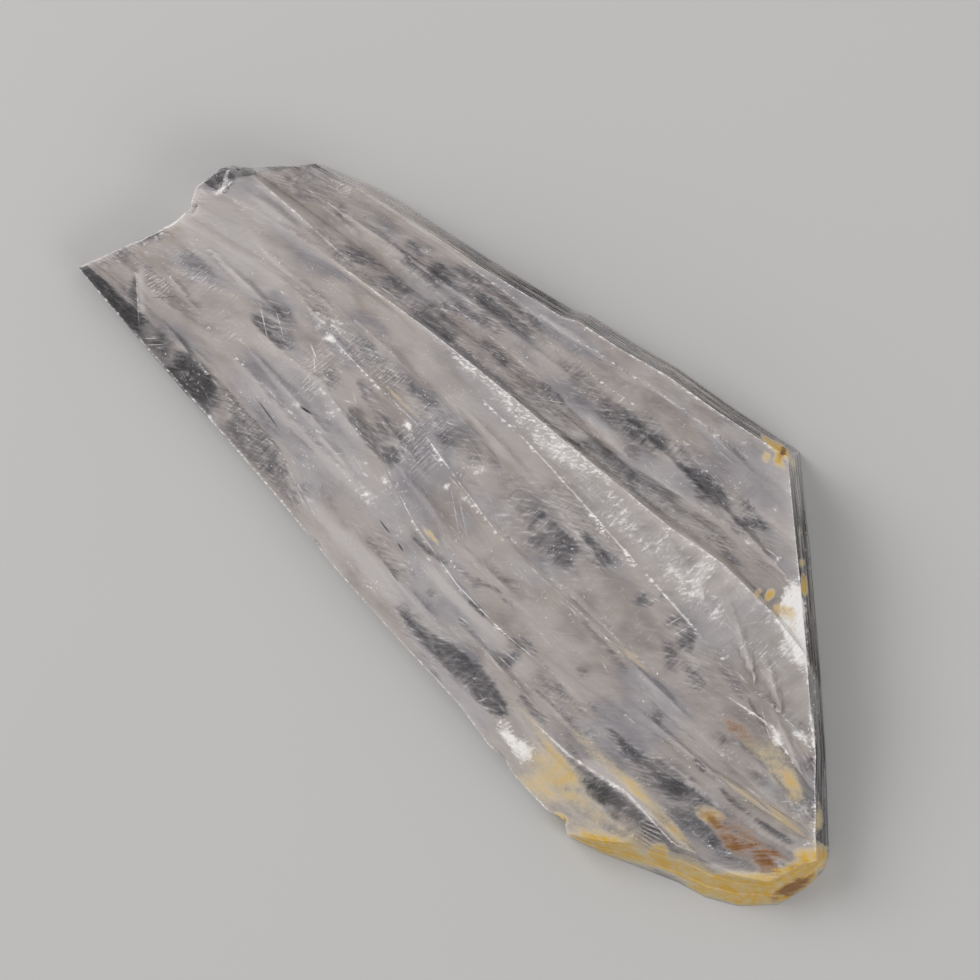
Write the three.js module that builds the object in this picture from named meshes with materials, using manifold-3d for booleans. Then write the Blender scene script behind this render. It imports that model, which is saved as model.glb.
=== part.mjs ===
// Calcite crystal: one cleaved, bladed piece lying on its flat cleavage face.
//
// Units are millimetres and +Z is up.  The origin is the middle of the
// crystal's bounding box, on the plane that it rests on.  X runs from the thin
// west tip to the stained east tip, and the blades and grooves follow it.
// Y runs from the undercut south edge to the layered north wall.
//
// The piece is the common part of two solids: a leaning column that has the
// crystal's outline and its layered walls, and a block whose upper surface
// carries the long crests and grooves.  Splinters are then joined on and chips
// are broken out.

import * as THREE from "three";
import * as BufferGeometryUtils from "three/addons/utils/BufferGeometryUtils.js";
import Module from "manifold-3d";

// ---------------------------------------------------------------- dimensions

const CREST_HEIGHT = 15.4; // highest point of the main crest
const LEAN_X = -0.06; // sideways shift of every wall per mm of height:
const LEAN_Y = -0.08; // the crystal is a slice of an oblique cleavage block
const LAYERS = [2.3, 4.6, 6.6, 8.6, 10.4]; // heights of the cleavage layers
const LEDGE = 0.15; // how far each layer steps back from the one below
const WALL_TOP = CREST_HEIGHT + 4; // the column ends above every crest
const BLOCK_FLOOR = -2; // the grooved block starts below the resting face

// Outline of the resting face, anticlockwise from the west tip.  The third
// number is the extra inward slope of the worn, rounded stretch at the east.
const OUTLINE = [
  // south edge, undercut
  [-54.85, -8.6, 0],
  [-43.0, -11.1, 0],
  [-30.0, -13.5, 0],
  [-18.0, -15.8, 0],
  [-10.0, -17.6, 0],
  [-1.7, -19.1, 0],
  [10.5, -21.1, 0],
  [16.0, -22.7, 0],
  [18.7, -22.9, 0],
  [20.2, -23.6, 0],
  [25.8, -24.5, 0],
  [27.4, -24.1, 0],
  [28.0, -24.1, 0],
  [29.3, -25.6, 0.1],
  // worn east end
  [33.6, -24.8, 0.3],
  [37.0, -23.7, 0.45],
  [42.6, -22.0, 0.55],
  [46.2, -21.4, 0.6],
  [49.7, -19.9, 0.6],
  [53.3, -16.9, 0.5],
  [54.6, -13.6, 0.45],
  [55.0, -10.6, 0.3],
  [54.5, -8.9, 0.1],
  // straight east cut
  [46.8, 0.3, 0],
  [40.0, 7.9, 0],
  [31.4, 17.1, 0],
  [23.1, 25.6, 0],
  // north wall
  [13.0, 24.8, 0],
  [6.2, 24.5, 0],
  [0.0, 23.6, 0],
  [-5.6, 23.1, 0],
  [-7.2, 22.4, 0],
  [-18.0, 21.1, 0],
  [-31.5, 19.8, 0],
  [-34.3, 19.4, 0],
  [-37.6, 18.3, 0],
  [-40.6, 17.7, 0],
  // west end, with the notch beside the shoulder
  [-42.5, 16.0, 0],
  [-46.4, 11.8, 0],
  [-47.8, 11.7, 0],
  [-48.7, 11.2, 0],
  [-49.2, 9.4, 0],
  [-49.8, 7.4, 0],
  [-48.9, 4.7, 0],
  [-49.3, 2.6, 0],
  [-51.1, -1.3, 0],
];

// Upper surface.  Each line runs from west to east over these stations, and
// the lines are listed from south to north: y is its place, z its height.
const STATIONS = [-58, -50, -44, -37, -30, -22, -15, -8, 0, 7, 15, 22, 30, 37, 45, 51, 58];
const LINES = [
  {
    name: "south skirt",
    y: [-30, -30, -30, -30, -30, -30, -30, -30, -30, -30, -30, -30, -30, -30, -30, -30, -30],
    z: [0, 0, 0, 0.2, 0.4, 0.6, 0.8, 1, 1.4, 2, 2.6, 2.8, 2.8, 2.4, 0.8, 0, 0],
  },
  {
    name: "south facet edge",
    y: [
      -8, -8, -8.5, -8.7, -10, -11.2, -14.2, -16.3, -17.9, -19.1, -19.8, -21, -22.4, -22, -19.6, -16.3, -14,
    ],
    z: [3.9, 4.7, 5.2, 5.7, 6.2, 6.6, 6.9, 7, 7, 6.9, 6.8, 6.6, 6.2, 5.8, 4.9, 4.4, 4.2],
  },
  {
    name: "south blade",
    y: [
      -7, -7.2, -7.6, -7.9, -9, -10.4, -12.6, -14.8, -16.6,
      -15.9, -17.4, -18, -17.3, -18.6, -18.4, -15.2, -13.2,
    ],
    z: [4.2, 5.1, 5.8, 6.4, 7, 7.4, 7.7, 7.8, 7.8, 8.1, 8.4, 8.4, 8.6, 7.9, 6.2, 5.4, 4.6],
  },
  {
    name: "step below the ribbon",
    y: [
      -5, -5.3, -5.8, -5.6, -6, -7.3, -8.5, -10.5, -12,
      -13.1, -14.5, -15.6, -15.6, -16.2, -16.3, -13.7, -12,
    ],
    z: [4.7, 5.9, 6.6, 7.3, 7.8, 8.4, 8.9, 9.2, 9.2, 9.1, 8.9, 8.6, 8.5, 8, 6.8, 6, 5],
  },
  {
    name: "ribbon crest",
    y: [
      -3.5, -3.7, -3.8, -1.9, -2.1, -3.2, -4.9, -8.2, -10.6,
      -11.6, -11.9, -12.4, -12.7, -12.2, -11.6, -10.6, -10,
    ],
    z: [5.2, 6.3, 7.1, 8.1, 8.5, 9, 9.5, 9.9, 10.1, 10, 9.8, 9.4, 8.9, 8.2, 7.4, 6.8, 6],
  },
  {
    name: "groove behind the ribbon",
    y: [
      -2.5, -2.5, -2.4, -0.7, -0.7, -1.7, -3.4, -6.9, -9.5,
      -10.4, -10.7, -10.8, -10.3, -9.7, -9.6, -9.1, -8.8,
    ],
    z: [5.3, 6.4, 7.2, 8.1, 8.4, 8.9, 9.4, 9.8, 9.9, 9.9, 9.7, 9.4, 9, 8.6, 7.9, 7.2, 6.4],
  },
  {
    name: "middle crest",
    y: [0.5, 0.8, 1.5, 2.4, 2.9, 1.7, 1, -1, -3.2, -4, -4.6, -5.6, -6.8, -7.5, -8, -7.7, -7.6],
    z: [5.7, 6.8, 7.6, 8.6, 9.1, 9.8, 10.4, 11, 11.5, 11.7, 11.6, 11.2, 10.6, 10, 8.9, 7.8, 6.8],
  },
  {
    name: "foot of the middle crest",
    y: [2, 2.3, 3, 3.9, 4.2, 3, 2.4, 0.5, -2, -3, -3.6, -4.3, -4.7, -4.5, -5.5, -6.4, -6.8],
    z: [5.9, 7, 7.8, 8.7, 9.1, 9.6, 10.2, 10.8, 11.3, 11.5, 11.4, 11, 10.5, 10, 9, 8.1, 7],
  },
  {
    name: "dell",
    y: [3.4, 3.6, 4.4, 5.3, 6, 5.4, 4.8, 4, 2.6, 1.8, 0.4, -0.9, -1.8, -1.2, -3.6, -5.2, -6],
    z: [6.1, 7.2, 8, 8.9, 9.6, 10.2, 10.6, 11, 11.3, 11.3, 11.1, 10.7, 10.3, 9.9, 8.9, 8.3, 7.4],
  },
  {
    name: "foot of the main scarp",
    y: [4.4, 4.7, 5.6, 7.6, 8.9, 9.1, 8.5, 7.8, 7, 5.8, 4.3, 3.1, 1.6, 0.8, 0.2, -3.2, -4.5],
    z: [6.3, 7.5, 8.3, 9.6, 10.8, 11.9, 12.3, 12.5, 12.6, 12.4, 12.1, 11.7, 11.2, 10.6, 9.7, 8.8, 8],
  },
  {
    name: "main crest",
    y: [7.5, 7.8, 9, 9.6, 9.8, 10.1, 10.1, 10, 9.7, 9.6, 9.4, 9.9, 9, 7.3, 3.5, 0, -3],
    z: [6.4, 9.8, 10.4, 10.9, 11.8, 13, 13.9, 14.7, 15.3, CREST_HEIGHT, 14.9, 14.5, 13.6, 12.6, 11, 9.8, 9],
  },
  {
    name: "lip behind the main crest",
    y: [10.5, 11.5, 11.7, 11.4, 10.8, 10.9, 10.9, 10.8, 10.5, 10.4, 10.3, 10.8, 10.1, 8.6, 5, 1.8, -1],
    z: [6, 9.6, 10, 10.4, 11, 12, 12.8, 13.5, 14, 14, 13.8, 13.4, 12.8, 12, 10.6, 9.5, 8.8],
  },
  {
    name: "north groove",
    y: [12, 12.2, 12.4, 12.6, 12.7, 12.6, 12.5, 12.3, 12.1, 11.8, 12, 12.3, 12.3, 11, 8, 5.6, 4],
    z: [5.2, 7.2, 8, 9, 9.6, 10.4, 11.2, 12, 12.5, 12.6, 12.5, 12.3, 11.8, 11.1, 10.1, 9.3, 8.6],
  },
  {
    name: "north ledge",
    y: [13, 13.2, 13.4, 13.8, 13.8, 14.1, 14, 13.8, 13.4, 12.7, 12.9, 13.6, 14, 13, 10.6, 9, 8],
    z: [5.2, 7, 8, 9.5, 10.3, 11.1, 11.8, 12.5, 13.1, 13.3, 13.2, 13, 12.3, 11.5, 10.4, 9.6, 9],
  },
  {
    name: "north bench",
    y: [16, 15.8, 15.9, 16.3, 17, 17.3, 17.5, 17.6, 17.6, 18.3, 17.7, 17, 17, 16.4, 15.2, 14.6, 14],
    z: [4.6, 6.8, 7.7, 9.5, 10.3, 11, 11.7, 12.5, 13.2, 13.5, 13.4, 13.2, 12.5, 11.7, 10.6, 9.8, 9.2],
  },
  {
    name: "north shoulder",
    y: [18, 17.6, 17.4, 17.5, 18.2, 18.8, 18.9, 19.1, 20, 20.6, 21, 21.2, 21, 20.8, 20.4, 20.2, 20],
    z: [4.2, 6.3, 7.3, 9.1, 9.9, 10.6, 11.3, 12.1, 12.8, 13, 12.9, 12.7, 12, 11.2, 10.2, 9.5, 9],
  },
  {
    name: "north skirt",
    y: [30, 30, 30, 30, 30, 30, 30, 30, 30, 30, 30, 30, 30, 30, 30, 30, 30],
    z: [0, 0, 1, 2, 3, 4, 5, 6, 7, 8, 8.5, 8.5, 8, 7, 6, 5, 5],
  },
];
const STAGGER = 1.6; // neighbouring lines bend at places this far apart

// Splinters on the upper surface: centre x, y, z, then length, width, height
// above the centre, and the turn of the long axis in degrees.
const SPLINTERS = [
  [-41, 10.2, 10, 13, 2.2, 0.7, 3],
  [-29, 3.4, 8.8, 9, 2.2, 1, -10],
  [-27, -5.2, 7.9, 18, 2.2, 0.8, -9],
  [-12, -2.2, 9.5, 14, 2.4, 1, -14],
  [4, -7.4, 10, 20, 2.6, 1, -5],
  [10, -14.8, 7.9, 20, 1.8, 1.1, -9],
  [21, 6.8, 12.6, 12, 3.4, 1, -22],
  [30, -9.3, 8.9, 18, 1.6, 0.8, -2],
  [41, -0.9, 9.4, 11, 2.4, 0.9, -28],
  [41, -9.2, 7.9, 14, 1.5, 0.8, 2],
  [42.5, -13.6, 6.8, 12, 1.8, 0.9, 8],
  [27, -20, 6.6, 22, 2, 0.9, -7],
  [-14, 15.7, 11.4, 26, 2.2, 0.8, 2],
  [12, 15.4, 12.8, 20, 1.8, 0.8, -6],
  [-38, 1.5, 7.9, 14, 1.8, 0.6, -4],
  [-33, 5.5, 8.8, 16, 2, 0.6, -2],
  [-44, -3.6, 6.6, 9, 1.6, 0.6, -12],
  [-40, -8.5, 5.3, 10, 1.8, 0.7, -14],
  [-18, -7.5, 8.5, 14, 1.8, 0.7, -14],
  [-6, -5.5, 9.9, 16, 2.2, 0.8, -12],
  [-20, 5.5, 10, 14, 2, 0.6, -4],
  [-4, 4.8, 11.3, 16, 2.4, 0.7, -8],
  [9, 2.4, 11.2, 12, 2.6, 0.7, -14],
  [14, -3.5, 11, 16, 2.2, 0.8, -8],
  [27, -5.8, 10.5, 14, 2, 0.7, -6],
  [0, -15, 7.9, 18, 1.8, 0.8, -9],
  [20, -15.2, 8.4, 14, 1.8, 0.7, -8],
  [35, -11.8, 8.3, 12, 1.6, 0.6, -2],
  [36, -17.6, 7.7, 14, 1.8, 0.8, -4],
  [46, -6.5, 8.4, 10, 1.6, 0.6, -18],
  [48.5, -12.5, 6.4, 8, 1.6, 0.6, 6],
  [-30, 15, 10, 14, 2, 0.7, 4],
  [-2, 19.8, 12.4, 18, 2, 0.7, 4],
  [16, 20.5, 12.6, 14, 2.2, 0.7, -6],
  [24, 14.2, 12.4, 14, 2, 0.7, -10],
  [30, 5, 12, 12, 2, 0.8, -34],
  [36, 3.2, 11, 9, 1.8, 0.8, -36],
];

// Chips and pits, given in the same way: they are taken out.
const CHIPS = [
  [-48.8, 4.4, 7.6, 2.2, 1.4, 4, 70],
  [27.7, -24.9, 4, 2.4, 1.6, 3.6, 62],
  [21.4, 24.3, 11.6, 2.2, 1.6, 1.4, 60],
  [-6.6, 23, 11, 4, 1.2, 2.2, 20],
  [-38.4, -9.6, 6.6, 5, 2.4, 1.1, 84],
  [53.6, -14.9, 4.6, 3.4, 1.8, 1.6, 64],
  [32.6, 12, 12.6, 5, 2.6, 0.8, -46],
  [-49.4, 8.2, 10.4, 7.6, 5.2, 3.4, 80],
  [17.6, -23.4, 5.6, 4, 1.6, 1.6, -14],
  [-50.6, -1.2, 7, 6, 1.4, 1, 64],
  [-25, 20.4, 9.6, 4, 1, 1.2, 6],
  [-12, 21.7, 10.4, 5, 1, 1.2, 6],
  [3, 23.6, 11.3, 3.4, 1, 1.2, 8],
  [12, 24.4, 11.6, 3, 1, 1.2, 2],
  [-33, -12.9, 5.2, 4, 1, 1, -10],
  [-14, -16.9, 6.2, 4, 1, 1, -11],
  [6, -20.4, 6.4, 3.4, 1, 1, -9],
  [31, 17, 12.2, 3, 1, 1.2, -46],
  [39, 8.7, 11.2, 2.6, 1, 1.2, -48],
  [45.3, 1.6, 10.4, 3, 1, 1.2, -50],
  [50.6, -4.6, 8.3, 2.6, 1, 1.2, -50],
];

// ------------------------------------------------------------ solid geometry

const wasm = await Module();
wasm.setup();

/** Turns a closed three.js geometry into a manifold solid. */
function toSolid(geometry) {
  const bare = geometry.clone();
  bare.deleteAttribute("normal");
  bare.deleteAttribute("uv");
  const merged = BufferGeometryUtils.mergeVertices(bare, 1e-4);
  return new wasm.Manifold(
    new wasm.Mesh({
      numProp: 3,
      vertProperties: new Float32Array(merged.attributes.position.array),
      triVerts: new Uint32Array(merged.index.array),
    }),
  );
}

/** Turns a manifold solid back into a three.js geometry. */
function toGeometry(solid) {
  const mesh = solid.getMesh();
  const geometry = new THREE.BufferGeometry();
  geometry.setAttribute("position", new THREE.BufferAttribute(mesh.vertProperties, 3));
  geometry.setIndex(new THREE.BufferAttribute(mesh.triVerts, 1));
  geometry.computeVertexNormals();
  return geometry;
}

/** Makes a geometry from a list of points and a list of triangles. */
function geometryOf(points, triangles) {
  const geometry = new THREE.BufferGeometry();
  geometry.setAttribute("position", new THREE.Float32BufferAttribute(points.flat(), 3));
  geometry.setIndex(triangles.flat());
  return geometry;
}

// ------------------------------------------------------------ leaning column

/** Inward unit normals of the outline, one for each of its corners. */
function inwardNormals(outline) {
  return outline.map((point, i) => {
    const before = outline[(i + outline.length - 1) % outline.length];
    const after = outline[(i + 1) % outline.length];
    const along = new THREE.Vector2(after[0] - before[0], after[1] - before[1]).normalize();
    return [-along.y, along.x];
  });
}

/** The outline at height z, stepped back by the ledges below it. */
function ringAt(z, stepBack) {
  const normals = inwardNormals(OUTLINE);
  return OUTLINE.map(([x, y, slope], i) => {
    const inward = stepBack + slope * Math.min(z, LAYERS.at(-1));
    return [x + LEAN_X * z + normals[i][0] * inward, y + LEAN_Y * z + normals[i][1] * inward, z];
  });
}

/** Column with the crystal's outline: one band per layer, a ledge between. */
function leaningColumn() {
  const rings = [ringAt(0, 0)];
  LAYERS.forEach((z, i) => {
    rings.push(ringAt(z, i * LEDGE));
    rings.push(ringAt(z, (i + 1) * LEDGE));
  });
  rings.push(ringAt(WALL_TOP, LAYERS.length * LEDGE));

  const count = OUTLINE.length;
  const triangles = [];
  for (let ring = 0; ring + 1 < rings.length; ring += 1) {
    for (let i = 0; i < count; i += 1) {
      const a = ring * count + i;
      const b = ring * count + ((i + 1) % count);
      triangles.push([a, b, b + count], [a, b + count, a + count]);
    }
  }
  const flatRing = (ring) => ring.map(([x, y]) => new THREE.Vector2(x, y));
  const lastRing = (rings.length - 1) * count;
  for (const [a, b, c] of THREE.ShapeUtils.triangulateShape(flatRing(rings[0]), [])) {
    triangles.push([c, b, a]);
  }
  for (const [a, b, c] of THREE.ShapeUtils.triangulateShape(flatRing(rings.at(-1)), [])) {
    triangles.push([a + lastRing, b + lastRing, c + lastRing]);
  }
  return toSolid(geometryOf(rings.flat(), triangles));
}

// ------------------------------------------------------------- grooved block

/** Place of a line's bend: inner bends are staggered from line to line. */
function bendAt(row, column) {
  const inner = column > 0 && column < STATIONS.length - 1;
  const side = row % 2 === 0 ? 1 : -1;
  return STATIONS[column] + (inner ? side * STAGGER : 0);
}

/** Block whose upper surface joins the lines from south to north. */
function groovedBlock() {
  const columns = STATIONS.length;
  const rows = LINES.length;
  const upper = LINES.flatMap((line, row) => line.y.map((y, i) => [bendAt(row, i), y, line.z[i]]));
  const lower = upper.map(([x, y]) => [x, y, BLOCK_FLOOR]);
  const under = rows * columns;
  const triangles = [];
  for (let row = 0; row + 1 < rows; row += 1) {
    for (let column = 0; column + 1 < columns; column += 1) {
      const a = row * columns + column;
      const b = a + 1;
      const c = b + columns;
      const d = a + columns;
      triangles.push([a, b, c], [a, c, d]);
      triangles.push([under + a, under + c, under + b], [under + a, under + d, under + c]);
    }
  }
  const edge = [];
  for (let column = 0; column + 1 < columns; column += 1) edge.push(column);
  for (let row = 0; row + 1 < rows; row += 1) edge.push(row * columns + columns - 1);
  for (let column = columns - 1; column > 0; column -= 1) edge.push((rows - 1) * columns + column);
  for (let row = rows - 1; row > 0; row -= 1) edge.push(row * columns);
  edge.forEach((a, i) => {
    const b = edge[(i + 1) % edge.length];
    triangles.push([a, under + a, under + b], [a, under + b, b]);
  });
  return toSolid(geometryOf([...upper, ...lower], triangles));
}

// ------------------------------------------------------- splinters and chips

/** Long double pyramid with flat faces, for a splinter or a chip. */
function spindle([x, y, z, length, width, height, turn]) {
  const geometry = new THREE.OctahedronGeometry(1);
  geometry.scale(length / 2, width / 2, height);
  geometry.rotateZ(THREE.MathUtils.degToRad(turn));
  geometry.translate(x, y, z);
  return toSolid(geometry);
}

// ------------------------------------------------------------------- crystal

function calciteCrystal() {
  let solid = groovedBlock();
  for (const splinter of SPLINTERS) solid = solid.add(spindle(splinter));
  solid = solid.intersect(leaningColumn());
  for (const chip of CHIPS) solid = solid.subtract(spindle(chip));
  return toGeometry(solid);
}

const calcite = new THREE.MeshStandardMaterial({ color: 0x99928f, roughness: 0.25, metalness: 0 });

const crystal = new THREE.Mesh(calciteCrystal(), calcite);
crystal.name = "calcite_crystal";

const group = new THREE.Group();
group.add(crystal);

export default group;
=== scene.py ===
# %% [markdown]
# # A calcite crystal, from its solid to its looks
#
# Calcite breaks along three oblique planes, so a broken piece is a slanted block with flat, stepped sides.
# This one was pulled off as a long slab: its upper face is a bundle of blades, some clear and some milky.
# The lesson dresses the crystal's solid model with one fine mesh and one see-through material.

# %% Load the frame
import math

import bpy
import numpy as np
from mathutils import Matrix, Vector


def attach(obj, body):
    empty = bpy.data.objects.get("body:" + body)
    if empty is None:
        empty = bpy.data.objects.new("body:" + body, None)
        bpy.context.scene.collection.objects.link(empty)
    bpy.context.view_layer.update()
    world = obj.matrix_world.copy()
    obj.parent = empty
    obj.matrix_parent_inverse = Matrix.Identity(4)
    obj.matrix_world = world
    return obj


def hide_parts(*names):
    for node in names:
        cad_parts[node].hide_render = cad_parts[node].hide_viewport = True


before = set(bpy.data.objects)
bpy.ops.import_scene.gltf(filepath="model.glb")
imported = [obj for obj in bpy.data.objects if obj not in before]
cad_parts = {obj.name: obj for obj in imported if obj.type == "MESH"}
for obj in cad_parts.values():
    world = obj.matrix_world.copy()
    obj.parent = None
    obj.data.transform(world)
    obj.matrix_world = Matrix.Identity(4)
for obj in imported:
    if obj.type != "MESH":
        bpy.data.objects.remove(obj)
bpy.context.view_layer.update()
MM = 0.001

# %% [markdown]
# ## The camera first
#
# The crystal lies on its flat face and is seen from straight above, turned so that the blades run down to
# the right. A long lens from nearly a metre keeps the perspective as weak as in a close-up with a macro
# lens.

# %% Camera
VIEW_TURN = math.radians(38.1)
VIEW_CENTRE = (-2.17 * MM, 0.19 * MM)
FRAME_WIDTH = 111.7 * MM  # what the view spans at the height of the subject
SUBJECT_HEIGHT = 8.0 * MM
CAMERA_HEIGHT = 0.9
SENSOR = 36.0

camera_data = bpy.data.cameras.new("camera")
camera_data.sensor_width = SENSOR
camera_data.lens = SENSOR * (CAMERA_HEIGHT - SUBJECT_HEIGHT) / FRAME_WIDTH
camera = bpy.data.objects.new("camera", camera_data)
camera.location = (*VIEW_CENTRE, CAMERA_HEIGHT)
camera.rotation_euler = (0, 0, VIEW_TURN)
bpy.context.scene.collection.objects.link(camera)
bpy.context.scene.camera = camera
print("lens, mm:", round(camera_data.lens))

# %% [markdown]
# ## The outline and the leaning walls
#
# A slice of an oblique block leans: every wall shifts by the same step for each millimetre of height, so
# the north and east walls show from above and the south edge hangs over. The outline is the resting
# face's, as in the solid, and its third number is the extra slope of the worn, rounded stretch at the
# east.

# %% Outline of the resting face, mm
LEAN = np.array([-0.06, -0.08])
LAYERS = np.array([2.3, 4.6, 6.6, 8.6, 10.4])
LEDGE = 0.15

SOUTH = [
    (-54.85, -8.6, 0), (-43, -11.1, 0), (-30, -13.5, 0), (-18, -15.8, 0), (-10, -17.6, 0), (-1.7, -19.1, 0),
    (10.5, -21.1, 0), (16, -22.7, 0), (18.7, -22.9, 0), (20.2, -23.6, 0), (25.8, -24.5, 0), (27.4, -24.1, 0),
    (28, -24.1, 0), (29.3, -25.6, 0.1), (33.6, -24.8, 0.3), (37, -23.7, 0.45), (42.6, -22, 0.55),
    (46.2, -21.4, 0.6), (49.7, -19.9, 0.6), (53.3, -16.9, 0.5), (54.6, -13.6, 0.45), (55, -10.6, 0.3),
    (54.5, -8.9, 0.1),
]
EAST = [(54.5, -8.9, 0.1), (46.8, 0.3, 0), (40, 7.9, 0), (31.4, 17.1, 0), (23.1, 25.6, 0)]
NORTH = [
    (-46.4, 11.8, 0), (-42.5, 16, 0), (-40.6, 17.7, 0), (-37.6, 18.3, 0), (-34.3, 19.4, 0), (-31.5, 19.8, 0),
    (-18, 21.1, 0), (-7.2, 22.4, 0), (-5.6, 23.1, 0), (0, 23.6, 0), (6.2, 24.5, 0), (13, 24.8, 0),
    (23.1, 25.6, 0),
]
WEST = [
    (-54.85, -8.6, 0), (-51.1, -1.3, 0), (-49.3, 2.6, 0), (-48.9, 4.7, 0), (-49.8, 7.4, 0), (-49.2, 9.4, 0),
    (-48.7, 11.2, 0), (-47.8, 11.7, 0), (-46.4, 11.8, 0),
]


def inward(points):
    """Unit normals of a closed loop, pointing into it, from the neighbours on both sides of each point."""
    step = np.roll(points[:, :2], -1, 0) - np.roll(points[:, :2], 1, 0)
    step /= np.linalg.norm(step, axis=1)[:, None]
    return np.stack([-step[:, 1], step[:, 0]], 1)


def along(points, shares):
    """Rows of a broken line at the given shares of its length, by straight interpolation."""
    length = np.r_[0, np.cumsum(np.hypot(*np.diff(points[:, :2], axis=0).T))]
    return np.stack([np.interp(shares * length[-1], length, column) for column in points.T], 1)


outline = np.array(SOUTH[:-1] + EAST[:-1] + NORTH[::-1][:-1] + WEST[::-1][:-1], float)
outline = np.column_stack([outline, inward(outline)])
outline = np.concatenate([outline, outline[:1]])
cuts = np.cumsum([0, len(SOUTH) - 1, len(EAST) - 1, len(NORTH) - 1, len(WEST) - 1])
SIDES = [outline[start : stop + 1] for start, stop in zip(cuts[:-1], cuts[1:])]
print("outline corners:", cuts[-1])


# %% [markdown]
# ## The blades
#
# Seventeen lines run from the west tip to the east tip, each the crest or the foot of a blade. Between two
# lines the surface is ruled straight across, which gives long flat facets with sharp edges, as cleavage
# does. A sculpted height map could hold the same form, but its edges would be soft and its numbers
# unreadable. Each line is given by its place across and its height at every station.

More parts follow.
